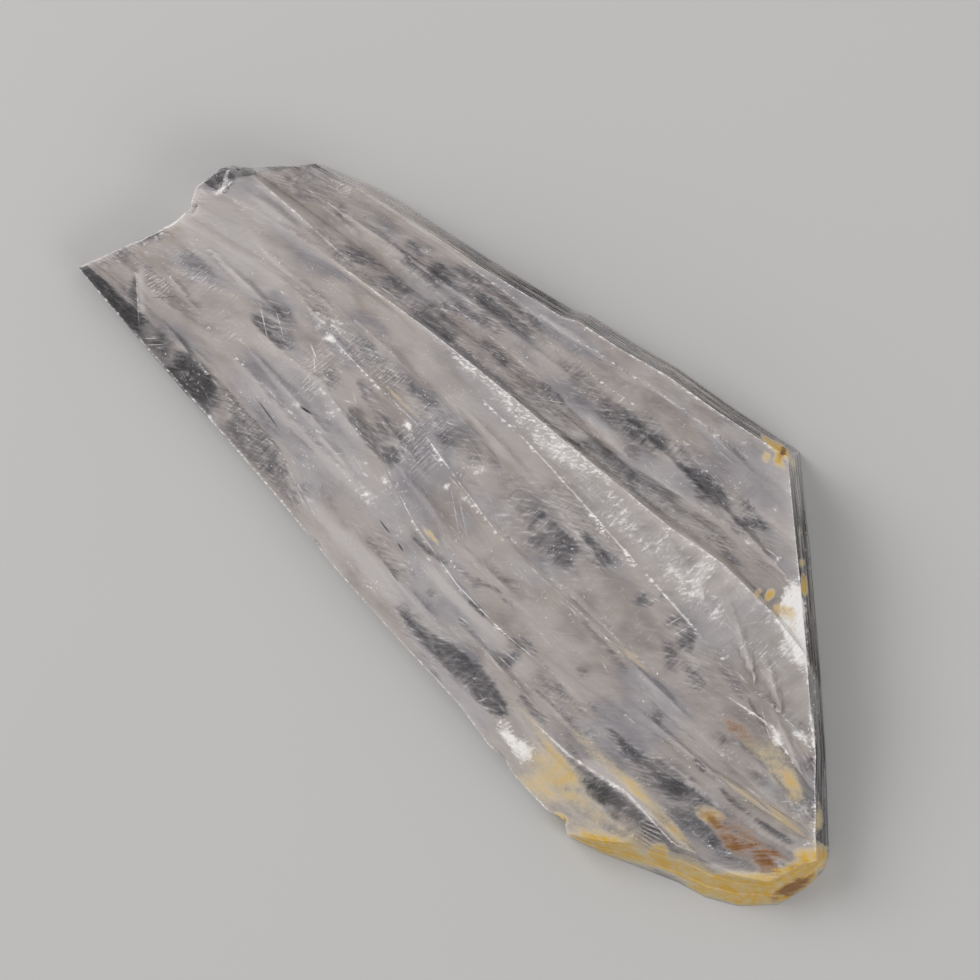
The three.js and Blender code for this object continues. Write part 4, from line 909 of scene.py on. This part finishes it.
faces_north = smooth(0.35, 0.6, -normal[:, 1] - 0.5 * np.maximum(normal[:, 0], 0))
north_clear = np.interp(base[:, 0], NORTH_X, NORTH_CLEAR)
east_clear = np.interp(base[:, 0], EAST_X, EAST_CLEAR)
glassy = faces_north * np.where(normal[:, 0] < -0.4, east_clear, north_clear)
under_rim = np.zeros(len(x))
under_rim[grid.size :] = np.tile(rim[:, 2], len(walls) + 1) - z[grid.size :]
wall = np.clip(under_rim / WALL_FROM, 0, 1)
wall[grid.size :] *= np.tile(glassy, len(walls) + 1)
shallow = 1 - np.clip(0.15 * under_rim + 0.3 * fray * np.clip(under_rim, 0, 1), 0, 0.9)
below_iron = under_rim - IRON_DEPTH
soaked = 1 - np.clip(0.25 * below_iron + 0.3 * fray * np.clip(below_iron + 1, 0, 1), 0, 0.85)
print("deepest wall point, mm under the rim:", under_rim.max().round(1))

# %% Keep them on the mesh
# painted highlight: a thin white line round the rim, for light bent at the rim
rim_highlight = np.zeros(len(x))
rim_highlight[loop] = 1
paint = {
    "clear": shallow * spots(WINDOWS), "cloud": spots(CLOUDS, 1), "frost": shallow * spots(FROSTED, 0.9),
    "yellow": soaked * spots(YELLOW, 0.9), "rust": soaked * spots(RUST, 0.9), "combed": spots(COMBED, 1),
    "crest": crest, "line": line, "torn": torn(x, y), "rim": rim_highlight, "wall": wall, "milkiness": milkiness,
    "shaded_breaks": breaks(SHADED_BREAKS), "milky_sheets": breaks(MILKY_SHEETS),
}
for name, values in paint.items():
    mesh.attributes.new(name, "FLOAT", "POINT").data.foreach_set("value", values.astype(np.float32))
flow = (np.stack([x, flow_v, z], 1) * MM).astype(np.float32)
mesh.attributes.new("flow", "FLOAT_VECTOR", "POINT").data.foreach_set("vector", flow.ravel())
print("mean of each paint:", {name: round(float(values.mean()), 2) for name, values in paint.items()})

# %% [markdown]
# ## Shader sums as plain expressions
#
# A material is a network of nodes, which is hard to read back. This small class wraps one output socket,
# so that a sum of masks is written as it would be on paper and adds its own Math nodes.

# %% Sum class
class Mask:
    """An output socket of a material; + - and * add Math nodes, and node() adds any other kind."""

    def __init__(self, socket):
        self.socket = socket

    def node(self, kind, settings=None, sockets=None, output=0):
        """Adds one node: its settings first, then the numbers or links of its sockets."""
        tree = self.socket.id_data
        made = tree.nodes.new(kind)
        for name, value in (settings or {}).items():
            setattr(made, name, value)
        for name, value in (sockets or {}).items():
            if isinstance(value, Mask):
                tree.links.new(value.socket, made.inputs[name])
            else:
                made.inputs[name].default_value = value
        return Mask(made.outputs[output])

    def math(self, operation, first, second):
        """One Math node on two masks or numbers."""
        return self.node("ShaderNodeMath", {"operation": operation}, {0: first, 1: second})

    def __add__(self, other):
        return self.math("ADD", self, other)

    def __sub__(self, other):
        return self.math("SUBTRACT", self, other)

    def __rsub__(self, other):
        return self.math("SUBTRACT", other, self)

    def __mul__(self, other):
        return self.math("MULTIPLY", self, other)

    __radd__ = __add__
    __rmul__ = __mul__

    def size(self):
        """The value without its sign."""
        return self.math("ABSOLUTE", self, 0)

    def more(self, other):
        """The larger of the two."""
        return self.math("MAXIMUM", self, other)

    def less(self, other):
        """The smaller of the two."""
        return self.math("MINIMUM", self, other)

    def above(self, low, high):
        """0 below low, 1 above high, smooth between."""
        return self.node(
            "ShaderNodeMapRange", {"interpolation_type": "SMOOTHSTEP"},
            {"Value": self, "From Min": low, "From Max": high},
        )

    def blend(self, start, end):
        """A colour: start where the mask is 0, end where it is 1."""
        return self.node("ShaderNodeMix", {"data_type": "RGBA"}, {0: self, 6: start, 7: end}, output=2)


print("a mask can:", [name for name in vars(Mask) if not name.startswith("_")])

# %% Material, and the readers of what the mesh keeps
material = bpy.data.materials.new("calcite")
material.use_nodes = True
tree = material.node_tree
tree.nodes.clear()
skin = Mask(tree.nodes.new("ShaderNodeNewGeometry").outputs["Normal"])


def kept(name, output="Fac"):
    """A number kept on the mesh, by its name."""
    return skin.node("ShaderNodeAttribute", {"attribute_name": name}, output=output)


FLOW = kept("flow", "Vector")


def noise(along_mm, across_mm, through_mm, turn=0.0, detail=3.0):
    """Cloudy noise, 0 to 1, whose grain has the given sizes along the blades, then turned by degrees."""
    scale = tuple(1 / (size * MM) for size in (along_mm, across_mm, through_mm))
    turned_to = skin.node("ShaderNodeVectorRotate", {"rotation_type": "Z_AXIS"},
                          {"Vector": FLOW, "Angle": math.radians(turn)})
    stretched = turned_to.node("ShaderNodeVectorMath", {"operation": "MULTIPLY"}, {0: turned_to, 1: scale})
    return stretched.node("ShaderNodeTexNoise", {}, {"Vector": stretched, "Scale": 1.0, "Detail": detail},
                          output="Fac")


def hairs(cloud, width):
    """Thin lines where a cloudy noise crosses its middle value."""
    return 1 - ((cloud - 0.5).size() * (1 / width)).above(0, 1)


print("material", material.name, "can read", len(paint), "masks")

# %% [markdown]
# ## Patterns
#
# All patterns are one kind of noise at different sizes: from clouds as wide as three blades down to grains
# of a quarter of a millimetre. Long thin grains that lie askew to the blades look like feathers, threads
# and crumbs of cleavage, and grains across the blades look like hackles. The sizes are judged. Each
# step of detail costs render time wherever the pattern is used, so a noise has only as much as shows.

# %% Patterns: sizes of the grain along, across and through the crystal, mm
clouds = noise(15, 6, 6, detail=1)
mottle = noise(2.6, 1.5, 1.6, turn=-8, detail=4)
fog = noise(5, 2.6, 2.4, turn=-8, detail=2)
wisps = noise(1.7, 0.7, 1.2, turn=35, detail=2)
veils = noise(7, 1.5, 3, turn=-6, detail=4)
fibres = noise(11, 0.5, 2, turn=3, detail=2)
feathers = noise(3.0, 0.34, 2, turn=-27, detail=2)
plumes = noise(3.0, 0.34, 2, turn=25, detail=1)
hackles = noise(0.3, 2.0, 2, turn=12, detail=3)
grain = noise(0.26, 0.26, 0.26, detail=1)
patches = noise(6, 3.5, 4, detail=2)
laminae = noise(14, 14, 0.27, detail=3)
crumbs = noise(0.9, 0.45, 0.7, turn=-30, detail=2)
threads = noise(1.3, 0.22, 0.8, turn=-20, detail=2)
glints = noise(1.0, 0.3, 0.6, turn=-42, detail=2)
gaps = noise(2.2, 0.9, 1, turn=8, detail=1)
print("pattern nodes:", len(tree.nodes))

# %% [markdown]
# ## Fine strokes and slits
#
# Some cracks show one by one: hair-fine white strokes, painted reflections where a crack mirrors the
# light, and dark slits, clear and painted dark as shade where a sheet edge hides the light. They are finer
# than the mesh, so each is a small lens in the material, placed, turned and stretched by a Mapping node,
# and the nearest lens wins.

# %% Fine strokes and slits, mm: x, y, length, width, turn in degrees
GLINT_STROKES = [
    (-34.2, -0.7, 5.2, 0.2, -39), (-32.7, 0.3, 4.4, 0.14, -36), (-27.7, 0.2, 2.8, 0.22, -30),
    (-26.8, -0.8, 3, 0.16, -48), (-20.6, -1.2, 2, 0.14, -35), (-21, -1.8, 1.4, 0.2, 25),
    (-25.2, 10.7, 4, 0.16, 2), (-23.3, 11.4, 1.4, 0.1, 85), (-19.2, 12.9, 3.4, 0.14, 27),
    (-47.5, -7.3, 7, 0.22, -49), (-2.8, 12.5, 4.2, 0.14, 29), (-4, 12.1, 3, 0.1, 28),
    (5.2, 8, 2.2, 0.14, 3), (4.6, -13.3, 1.8, 0.2, 0), (-9.4, -0.8, 2, 0.2, -12),
    (-14.2, 0.3, 1.4, 0.24, -20), (-6, -1.6, 1.8, 0.18, -8), (42.9, -8.4, 2.4, 0.3, 0),
    (46.4, -6.8, 2, 0.14, 40), (47.6, -7, 2.4, 0.2, 40), (38.8, -1.3, 4.6, 0.16, -37),
    (21.6, 8.9, 2.4, 0.16, -58), (22.8, 7.5, 1.4, 0.14, -20), (24.2, 5.7, 2.2, 0.2, -48),
    (13.8, -4.8, 2.6, 0.16, -8), (-18.3, -7.2, 1.2, 0.12, 35), (-34.6, 3.3, 0.9, 0.24, 0),
    (-14.4, -7.2, 1.1, 0.26, 0), (-21.5, -6.6, 0.7, 0.34, 10), (-2.8, -10.3, 0.8, 0.34, 0),
    (-42.6, -10.4, 2.6, 0.14, 40), (-43.4, -10.1, 2.6, 0.12, 40), (20.6, -7.6, 1.6, 0.18, -25),
    (11.9, -19.2, 1.4, 0.2, 58), (27.4, 14.3, 2.6, 0.14, 3), (50.4, -13.3, 2, 0.24, -35),
    (-4, -4, 7, 0.1, -42), (-2.6, -4.2, 6, 0.1, -40), (23.4, 1.2, 2.8, 0.16, 68), (24.8, 1, 2.6, 0.14, 64),
    (11.4, -13.3, 2.6, 0.14, 0), (11.2, -14.2, 2.6, 0.12, -4), (11, -15.1, 2.4, 0.14, -8),
    (36, -18.55, 3, 0.12, 16), (36.4, -18.95, 3.2, 0.12, 14), (36.6, -19.4, 3.4, 0.12, 11),
    (36.5, -19.85, 3.4, 0.12, 7), (36.5, -20.3, 3.4, 0.1, 5),
]
SHADE_SLITS = [
    (35.8, -18.35, 2.4, 0.12, 17), (36.2, -18.75, 3, 0.14, 16), (36.5, -19.15, 3.4, 0.16, 13),
    (36.4, -19.6, 3.4, 0.1, 9), (36.4, -20.05, 3.6, 0.12, 6), (36.6, -20.5, 3.4, 0.18, 4),
    (37.2, -20.9, 2.4, 0.12, 2), (-24.3, -5.6, 1.9, 0.36, 4), (-27.5, -8.6, 4.8, 0.18, -16),
    (-9, -10.5, 2.4, 0.22, -14), (-6.2, -11.2, 1.4, 0.2, -20), (-4.6, -14.3, 1.8, 0.14, -14),
    (-45, -5.4, 3.4, 0.12, 40), (46.4, -8.3, 4, 0.2, 2),
]
PLACE = skin.node("ShaderNodeTexCoord", output="Object")


def off_lenses(table):
    """Distance from the nearest lens, 1 at its rim: the place is moved, turned and divided by half-axes."""
    nearest_lens = None
    for cx, cy, length, width, turn in table:
        own = PLACE.node("ShaderNodeMapping", {"vector_type": "TEXTURE"}, {
            "Vector": PLACE, "Location": (cx * MM, cy * MM, 0), "Rotation": (0, 0, math.radians(turn)),
            "Scale": (length / 2 * MM, width / 2 * MM, 1)})
        away = own.node("ShaderNodeVectorMath", {"operation": "LENGTH"}, {0: own}, output="Value")
        nearest_lens = away if nearest_lens is None else nearest_lens.less(away)
    return nearest_lens


# painted reflections: white strokes where a crack mirrors the light
glint_strokes = off_lenses(GLINT_STROKES).above(1.1, 0.3) * (0.35 + 0.65 * crumbs.above(0.35, 0.55))
# painted shade: dark slits where a sheet edge hides the light
slits = off_lenses(SHADE_SLITS).above(1.1, 0.2)
print(len(GLINT_STROKES), "strokes and", len(SHADE_SLITS), "slits")

# %% [markdown]
# ## Clear, milky and frosted shares
#
# Each kept mask is broken up by patterns before it is used, or its rim would look airbrushed. Smooth
# patches are left between the lively ones, as on real cleavage. A window is strongest where nothing milky
# overlaps it, a clean break is painted dark behind its sharp edge as painted shade, and frost is made of
# tiny facets whose glints are painted white.

# %% Windows and walls
cut = kept("shaded_breaks")
sheet = kept("milky_sheets")
combed = patches.above(0.42, 0.58) * (hackles - 0.5) + patches.above(0.58, 0.42) * (feathers - 0.5)
comb_lines = patches.above(0.55, 0.75).more(kept("combed")) * (hackles - 0.5)
loose = 0.35 + 0.65 * (kept("clear") + cut + 0.6 * kept("combed")).above(0, 0.6)
clean = kept("clear") - 0.9 * kept("milkiness") - 0.4 * kept("cloud") - 0.6 * sheet
window = (clean + loose * (1.9 * (mottle - 0.5) + 1.2 * (veils - 0.5) + 1.4 * combed)).above(0.05, 1.3)
# painted shade: dark behind the sharp edge of a break
behind_edge = (1.1 * cut + 0.8 * (mottle - 0.5) + 0.7 * (veils - 0.5) + 0.9 * combed).above(0.05, 1.1)
window = window.more(behind_edge * cut.above(0.05, 0.25))
# clear wall layers: partly real clearness, partly painted shade of the ground seen through them
clear_and_shaded_walls = kept("wall") * (0.35 + 0.65 * laminae.above(0.44, 0.55))
print("nodes so far:", len(tree.nodes))

# %% Hairs, specks, frost and bright lines
hair = (hairs(feathers, 0.014) + hairs(plumes, 0.012)) * patches.above(0.5, 0.62) * (0.2 + 0.8 * window)
long_hair = hairs(fibres, 0.01) * patches.above(0.55, 0.4)
# painted glints: tiny white specks
glint_specks = grain.above(0.68, 0.75) * mottle.above(0.5, 0.65)
sparkle = glints.above(0.49, 0.56)
# thin white line on the crest edges: partly frost, partly painted highlight
thin_frost_and_highlight = (kept("line") * (0.6 + 1.2 * (veils - 0.5) + 1.2 * (crumbs - 0.5))).above(0.25, 0.6)
# partly frost, partly painted glints along the crests
frost_and_glint_edge = kept("crest") * (0.15 + 1.1 * sparkle) * gaps.above(0.35, 0.6)
torn_frost = kept("torn") * (0.12 + 0.7 * hackles.above(0.45, 0.65)) * (0.4 + 0.6 * mottle.above(0.4, 0.6))
# frost, with painted glints and the painted highlight round the rim
frost_and_highlights = kept("frost") + frost_and_glint_edge * 0.9 + torn_frost * 0.6 + kept("rim") * 0.8
frost_and_highlights = (frost_and_highlights + 0.8 * (grain - 0.5) + 1.1 * (mottle - 0.5) + 0.9 * (crumbs - 0.5)).above(0.2, 1.05)
frost_and_highlights = frost_and_highlights * (0.25 + 0.75 * sparkle.more(kept("frost").above(0.45, 0.85)))
bright = frost_and_highlights.more(thin_frost_and_highlight * 0.38).more(glint_strokes * 0.55)
clearness = (window * (0.2 + 0.3 * mottle.above(0.62, 0.4))).more(0.3 * clear_and_shaded_walls)
milk = (1 - clearness.more(slits * 0.7)).more((hair + long_hair) * 0.4)
print("nodes so far:", len(tree.nodes))

# %% [markdown]
# ## Colours, from the depth outwards
#
# The colour starts as warm or cool grey milk and is blended, step by step, with what lies nearer the
# surface: pale and veiled fog, the tone of each blade, clouds, sheets, windows, comb marks, threads and
# last the iron. Clear calcite over a pale ground would look bright, so the windows are painted a dark,
# veiled colour: painted shade of the ground seen through them.

# %% Colours, linear red, green and blue
COOL = (0.345, 0.328, 0.347, 1)
WARM = (0.42, 0.372, 0.345, 1)
PALE = (0.575, 0.545, 0.54, 1)
WHITE = (0.92, 0.9, 0.895, 1)
STRAW = (0.66, 0.49, 0.18, 1)
IRON = (0.68, 0.41, 0.045, 1)
RUSTY = (0.27, 0.12, 0.035, 1)
# painted shade: the veiled dark of a window, for the shaded ground seen through it; also the dark of fog,
# combs, crumbs and threads
VEIL_AND_SHADE = (0.10, 0.097, 0.115, 1)
# painted shade: the deepest windows, the clear north and east walls and the dark slits
PAINTED_SHADE = (0.035, 0.033, 0.035, 1)
print("pale milk is", round(PALE[1] / VEIL_AND_SHADE[1], 1), "times as light as a window")

# %% Milk and windows
cool_share = (clouds + 0.4 * (veils - 0.5)).above(0.42, 0.62).more(0.8 * kept("combed").more(kept("clear")))
milky = cool_share.blend(WARM, COOL)
milky = (0.4 * (fog - 0.4).above(0, 0.25)).blend(milky, PALE)
milky = (0.3 * (0.5 - fog).above(0, 0.25)).blend(milky, VEIL_AND_SHADE)
milky = (0.8 * kept("milkiness") + 0.6 * kept("cloud")).above(0, 1).blend(milky, PALE)
# painted shade: blades given as clear, and the north sides of splinters, are darkened to the veiled ground
milky = (-0.6 * kept("milkiness")).above(0, 1).blend(milky, VEIL_AND_SHADE)
milky = (0.8 * (kept("cloud") - 1)).above(0, 1).blend(milky, WHITE)
milky = (0.7 * (sheet + 0.3 * (mottle - 0.5)).above(0.08, 0.5)).blend(milky, PALE)
# painted shade: each window is darkened to the veiled ground
milky = (window * (0.45 + 0.4 * (veils + 0.8 * (wisps - 0.5)).above(0.3, 0.65))).blend(milky, VEIL_AND_SHADE)
lively = (patches.above(0.4, 0.62) * loose) * (1 - 0.8 * kept("cloud"))
milky = (lively * (1.8 * comb_lines).more(1.3 * (crumbs - 0.5))).above(0, 1).blend(milky, PALE)
milky = (lively * (-1.8 * comb_lines).more(1.3 * (0.5 - crumbs))).above(0, 1).blend(milky, VEIL_AND_SHADE)
milky = (1.2 * loose * (threads - 0.5)).above(0, 0.6).blend(milky, WHITE)
milky = (1.2 * loose * (0.5 - threads)).above(0, 0.6).blend(milky, VEIL_AND_SHADE)
# painted shade in the deepest windows
milky = (0.75 * (clean + 0.8 * (mottle - 0.5)).above(0.7, 1.7)).blend(milky, PAINTED_SHADE)
# painted shade on the clear walls
milky = (0.9 * clear_and_shaded_walls).blend(milky, PAINTED_SHADE)
# painted shade in the slits
milky = (0.8 * slits).blend(milky, PAINTED_SHADE)
torn_veil = 0.25 * feathers.above(0.58, 0.75) + 0.25 * veils.above(0.6, 0.75) + 0.55 * kept("torn")
milky = torn_veil.blend(milky, PALE)
milky = ((hair + long_hair) * 0.3 + glint_specks * 0.8 + thin_frost_and_highlight * 0.4).blend(milky, WHITE)
print("nodes so far:", len(tree.nodes))

# %% Iron and crusts
yellow = (kept("yellow") + 0.7 * (mottle - 0.5) + 0.4 * (grain - 0.5) + 0.4 * (feathers - 0.5)).above(0, 1)
yellow = yellow * kept("yellow").above(0, 0.2) * (0.75 + 0.25 * wisps.above(0.35, 0.6))
rust = (kept("rust") + 1.2 * (feathers - 0.5) + 1.0 * (mottle - 0.5) + 0.5 * (grain - 0.5)).above(0.05, 1.1)
rust = rust * kept("rust").above(0, 0.3)
iron = (0.5 * kept("yellow") - 0.4 + mottle + 0.5 * (grain - 0.5)).above(0.25, 0.8).blend(STRAW, IRON)
milky = yellow.blend(milky, iron)
milky = rust.blend(milky, RUSTY)
crust = rust.blend((yellow * (1 - 0.4 * frost_and_highlights)).blend(WHITE, iron), RUSTY)
crusted = bright.more(yellow * 0.75).more(rust * 0.6)
print("nodes so far:", len(tree.nodes))

# %% [markdown]
# ## Three kinds of surface
#
# Calcite's clear part bends light strongly and swallows a little of it on the way. The milky part takes
# light in and scatters it back from a few millimetres below, and the crust of frost or iron is a plain
# rough surface. Masks choose between the three. Relief too fine for the mesh tilts the surface by a bump.

# %% Relief too fine for the mesh
BUMP_HEIGHT = 0.25 * MM

height = fibres * 0.1 + threads * 0.12 + combed * 0.3 + comb_lines * 0.6 + mottle * 0.1
height = height + hackles * 0.9 * kept("torn")
height = height + grain * (0.05 + 0.5 * kept("frost")) + laminae * kept("wall") * 0.8
normal_map = skin.node("ShaderNodeBump", {}, {"Height": height, "Strength": 0.8, "Distance": BUMP_HEIGHT})
print("bump height, mm:", round(BUMP_HEIGHT / MM, 2))

# %% Surface and inside
CALCITE_IOR = 1.6
SCATTER_DEPTH = 3.5 * MM
ABSORBED_PER_METRE = 40.0

clear_side = skin.node("ShaderNodeBsdfPrincipled", {}, {
    "Base Color": (0.92, 0.92, 0.94, 1), "Roughness": 0.06, "IOR": CALCITE_IOR, "Transmission Weight": 1.0,
    "Normal": normal_map})
milky_side = skin.node("ShaderNodeBsdfPrincipled", {}, {
    "Base Color": milky, "Roughness": 0.18, "IOR": CALCITE_IOR, "Normal": normal_map,
    "Subsurface Weight": 1.0, "Subsurface Radius": (1.0, 0.95, 0.9), "Subsurface Scale": SCATTER_DEPTH})
crust_side = skin.node("ShaderNodeBsdfPrincipled", {}, {
    "Base Color": crust, "Roughness": 0.5, "IOR": CALCITE_IOR, "Specular IOR Level": 0.2,
    "Normal": normal_map})
body = skin.node("ShaderNodeMixShader", {}, {0: milk, 1: clear_side, 2: milky_side})
surface = skin.node("ShaderNodeMixShader", {}, {0: crusted, 1: body, 2: crust_side})
inside = skin.node("ShaderNodeVolumeAbsorption", {}, {
    "Color": (0.5, 0.5, 0.52, 1), "Density": ABSORBED_PER_METRE})
output = tree.nodes.new("ShaderNodeOutputMaterial")
tree.links.new(surface.socket, output.inputs["Surface"])
tree.links.new(inside.socket, output.inputs["Volume"])
mesh.materials.append(material)
print("material nodes:", len(tree.nodes))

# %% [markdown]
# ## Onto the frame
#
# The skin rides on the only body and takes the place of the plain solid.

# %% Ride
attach(crystal, "root")
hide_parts("calcite_crystal")
print("skin rides on root")

# %% [markdown]
# ## Floor and light
#
# A plain pale floor and a weak even sky, with a soft light at the west end and a weaker one at the east
# end. Light along the blades keeps the crests from throwing long shadows over the facets, so what shows is
# the milk and the windows, and the hackles that stand across the light are bright on one side.

# %% Floor
FLOOR_HALF = 4.0
FLOOR_GAP = 0.05 * MM
FLOOR_GREY = (0.55, 0.55, 0.55, 1)

corners = np.array([(-1, -1), (1, -1), (1, 1), (-1, 1)]) * FLOOR_HALF
floor_mesh = bpy.data.meshes.new("floor")
floor_mesh.from_pydata([(*corner, -FLOOR_GAP) for corner in corners.tolist()], [], [(0, 1, 2, 3)])
floor = bpy.data.objects.new("floor", floor_mesh)
bpy.context.scene.collection.objects.link(floor)
paper = bpy.data.materials.new("floor_paper")
paper.use_nodes = True
paper.node_tree.nodes["Principled BSDF"].inputs["Base Color"].default_value = FLOOR_GREY
paper.node_tree.nodes["Principled BSDF"].inputs["Roughness"].default_value = 0.9
floor_mesh.materials.append(paper)
print("floor, m across:", 2 * FLOOR_HALF)

# %% Sky and softboxes
SKY_STRENGTH = 0.55
BOX = (0.5, 0.5)  # metres

world = bpy.data.worlds.new("world")
world.use_nodes = True
world.node_tree.nodes["Background"].inputs["Color"].default_value = (0.84, 0.83, 0.82, 1)
world.node_tree.nodes["Background"].inputs["Strength"].default_value = SKY_STRENGTH
bpy.context.scene.world = world
bpy.context.scene.view_settings.view_transform = "Standard"


def view_place(right, up, height):
    """A place in metres given by directions in the view: right, up and towards the camera."""
    c, s = math.cos(VIEW_TURN), math.sin(VIEW_TURN)
    return (right * c - up * s, right * s + up * c, height)


def softbox(name, place, size, power, colour):
    """A rectangular area light that faces the crystal."""
    light = bpy.data.lights.new(name, "AREA")
    light.shape = "RECTANGLE"
    light.size, light.size_y = size
    light.energy = power
    light.color = colour
    lamp = bpy.data.objects.new(name, light)
    lamp.location = place
    lamp.rotation_euler = Vector(place).to_track_quat("Z", "Y").to_euler()
    bpy.context.scene.collection.objects.link(lamp)


softbox("key", view_place(-0.55, 0.42, 0.6), BOX, 4.6, (1.0, 0.985, 0.97))
softbox("fill", view_place(0.5, -0.38, 0.6), BOX, 1.4, (1.0, 0.99, 0.98))
print("lights:", len(bpy.data.lights))

# %% [markdown]
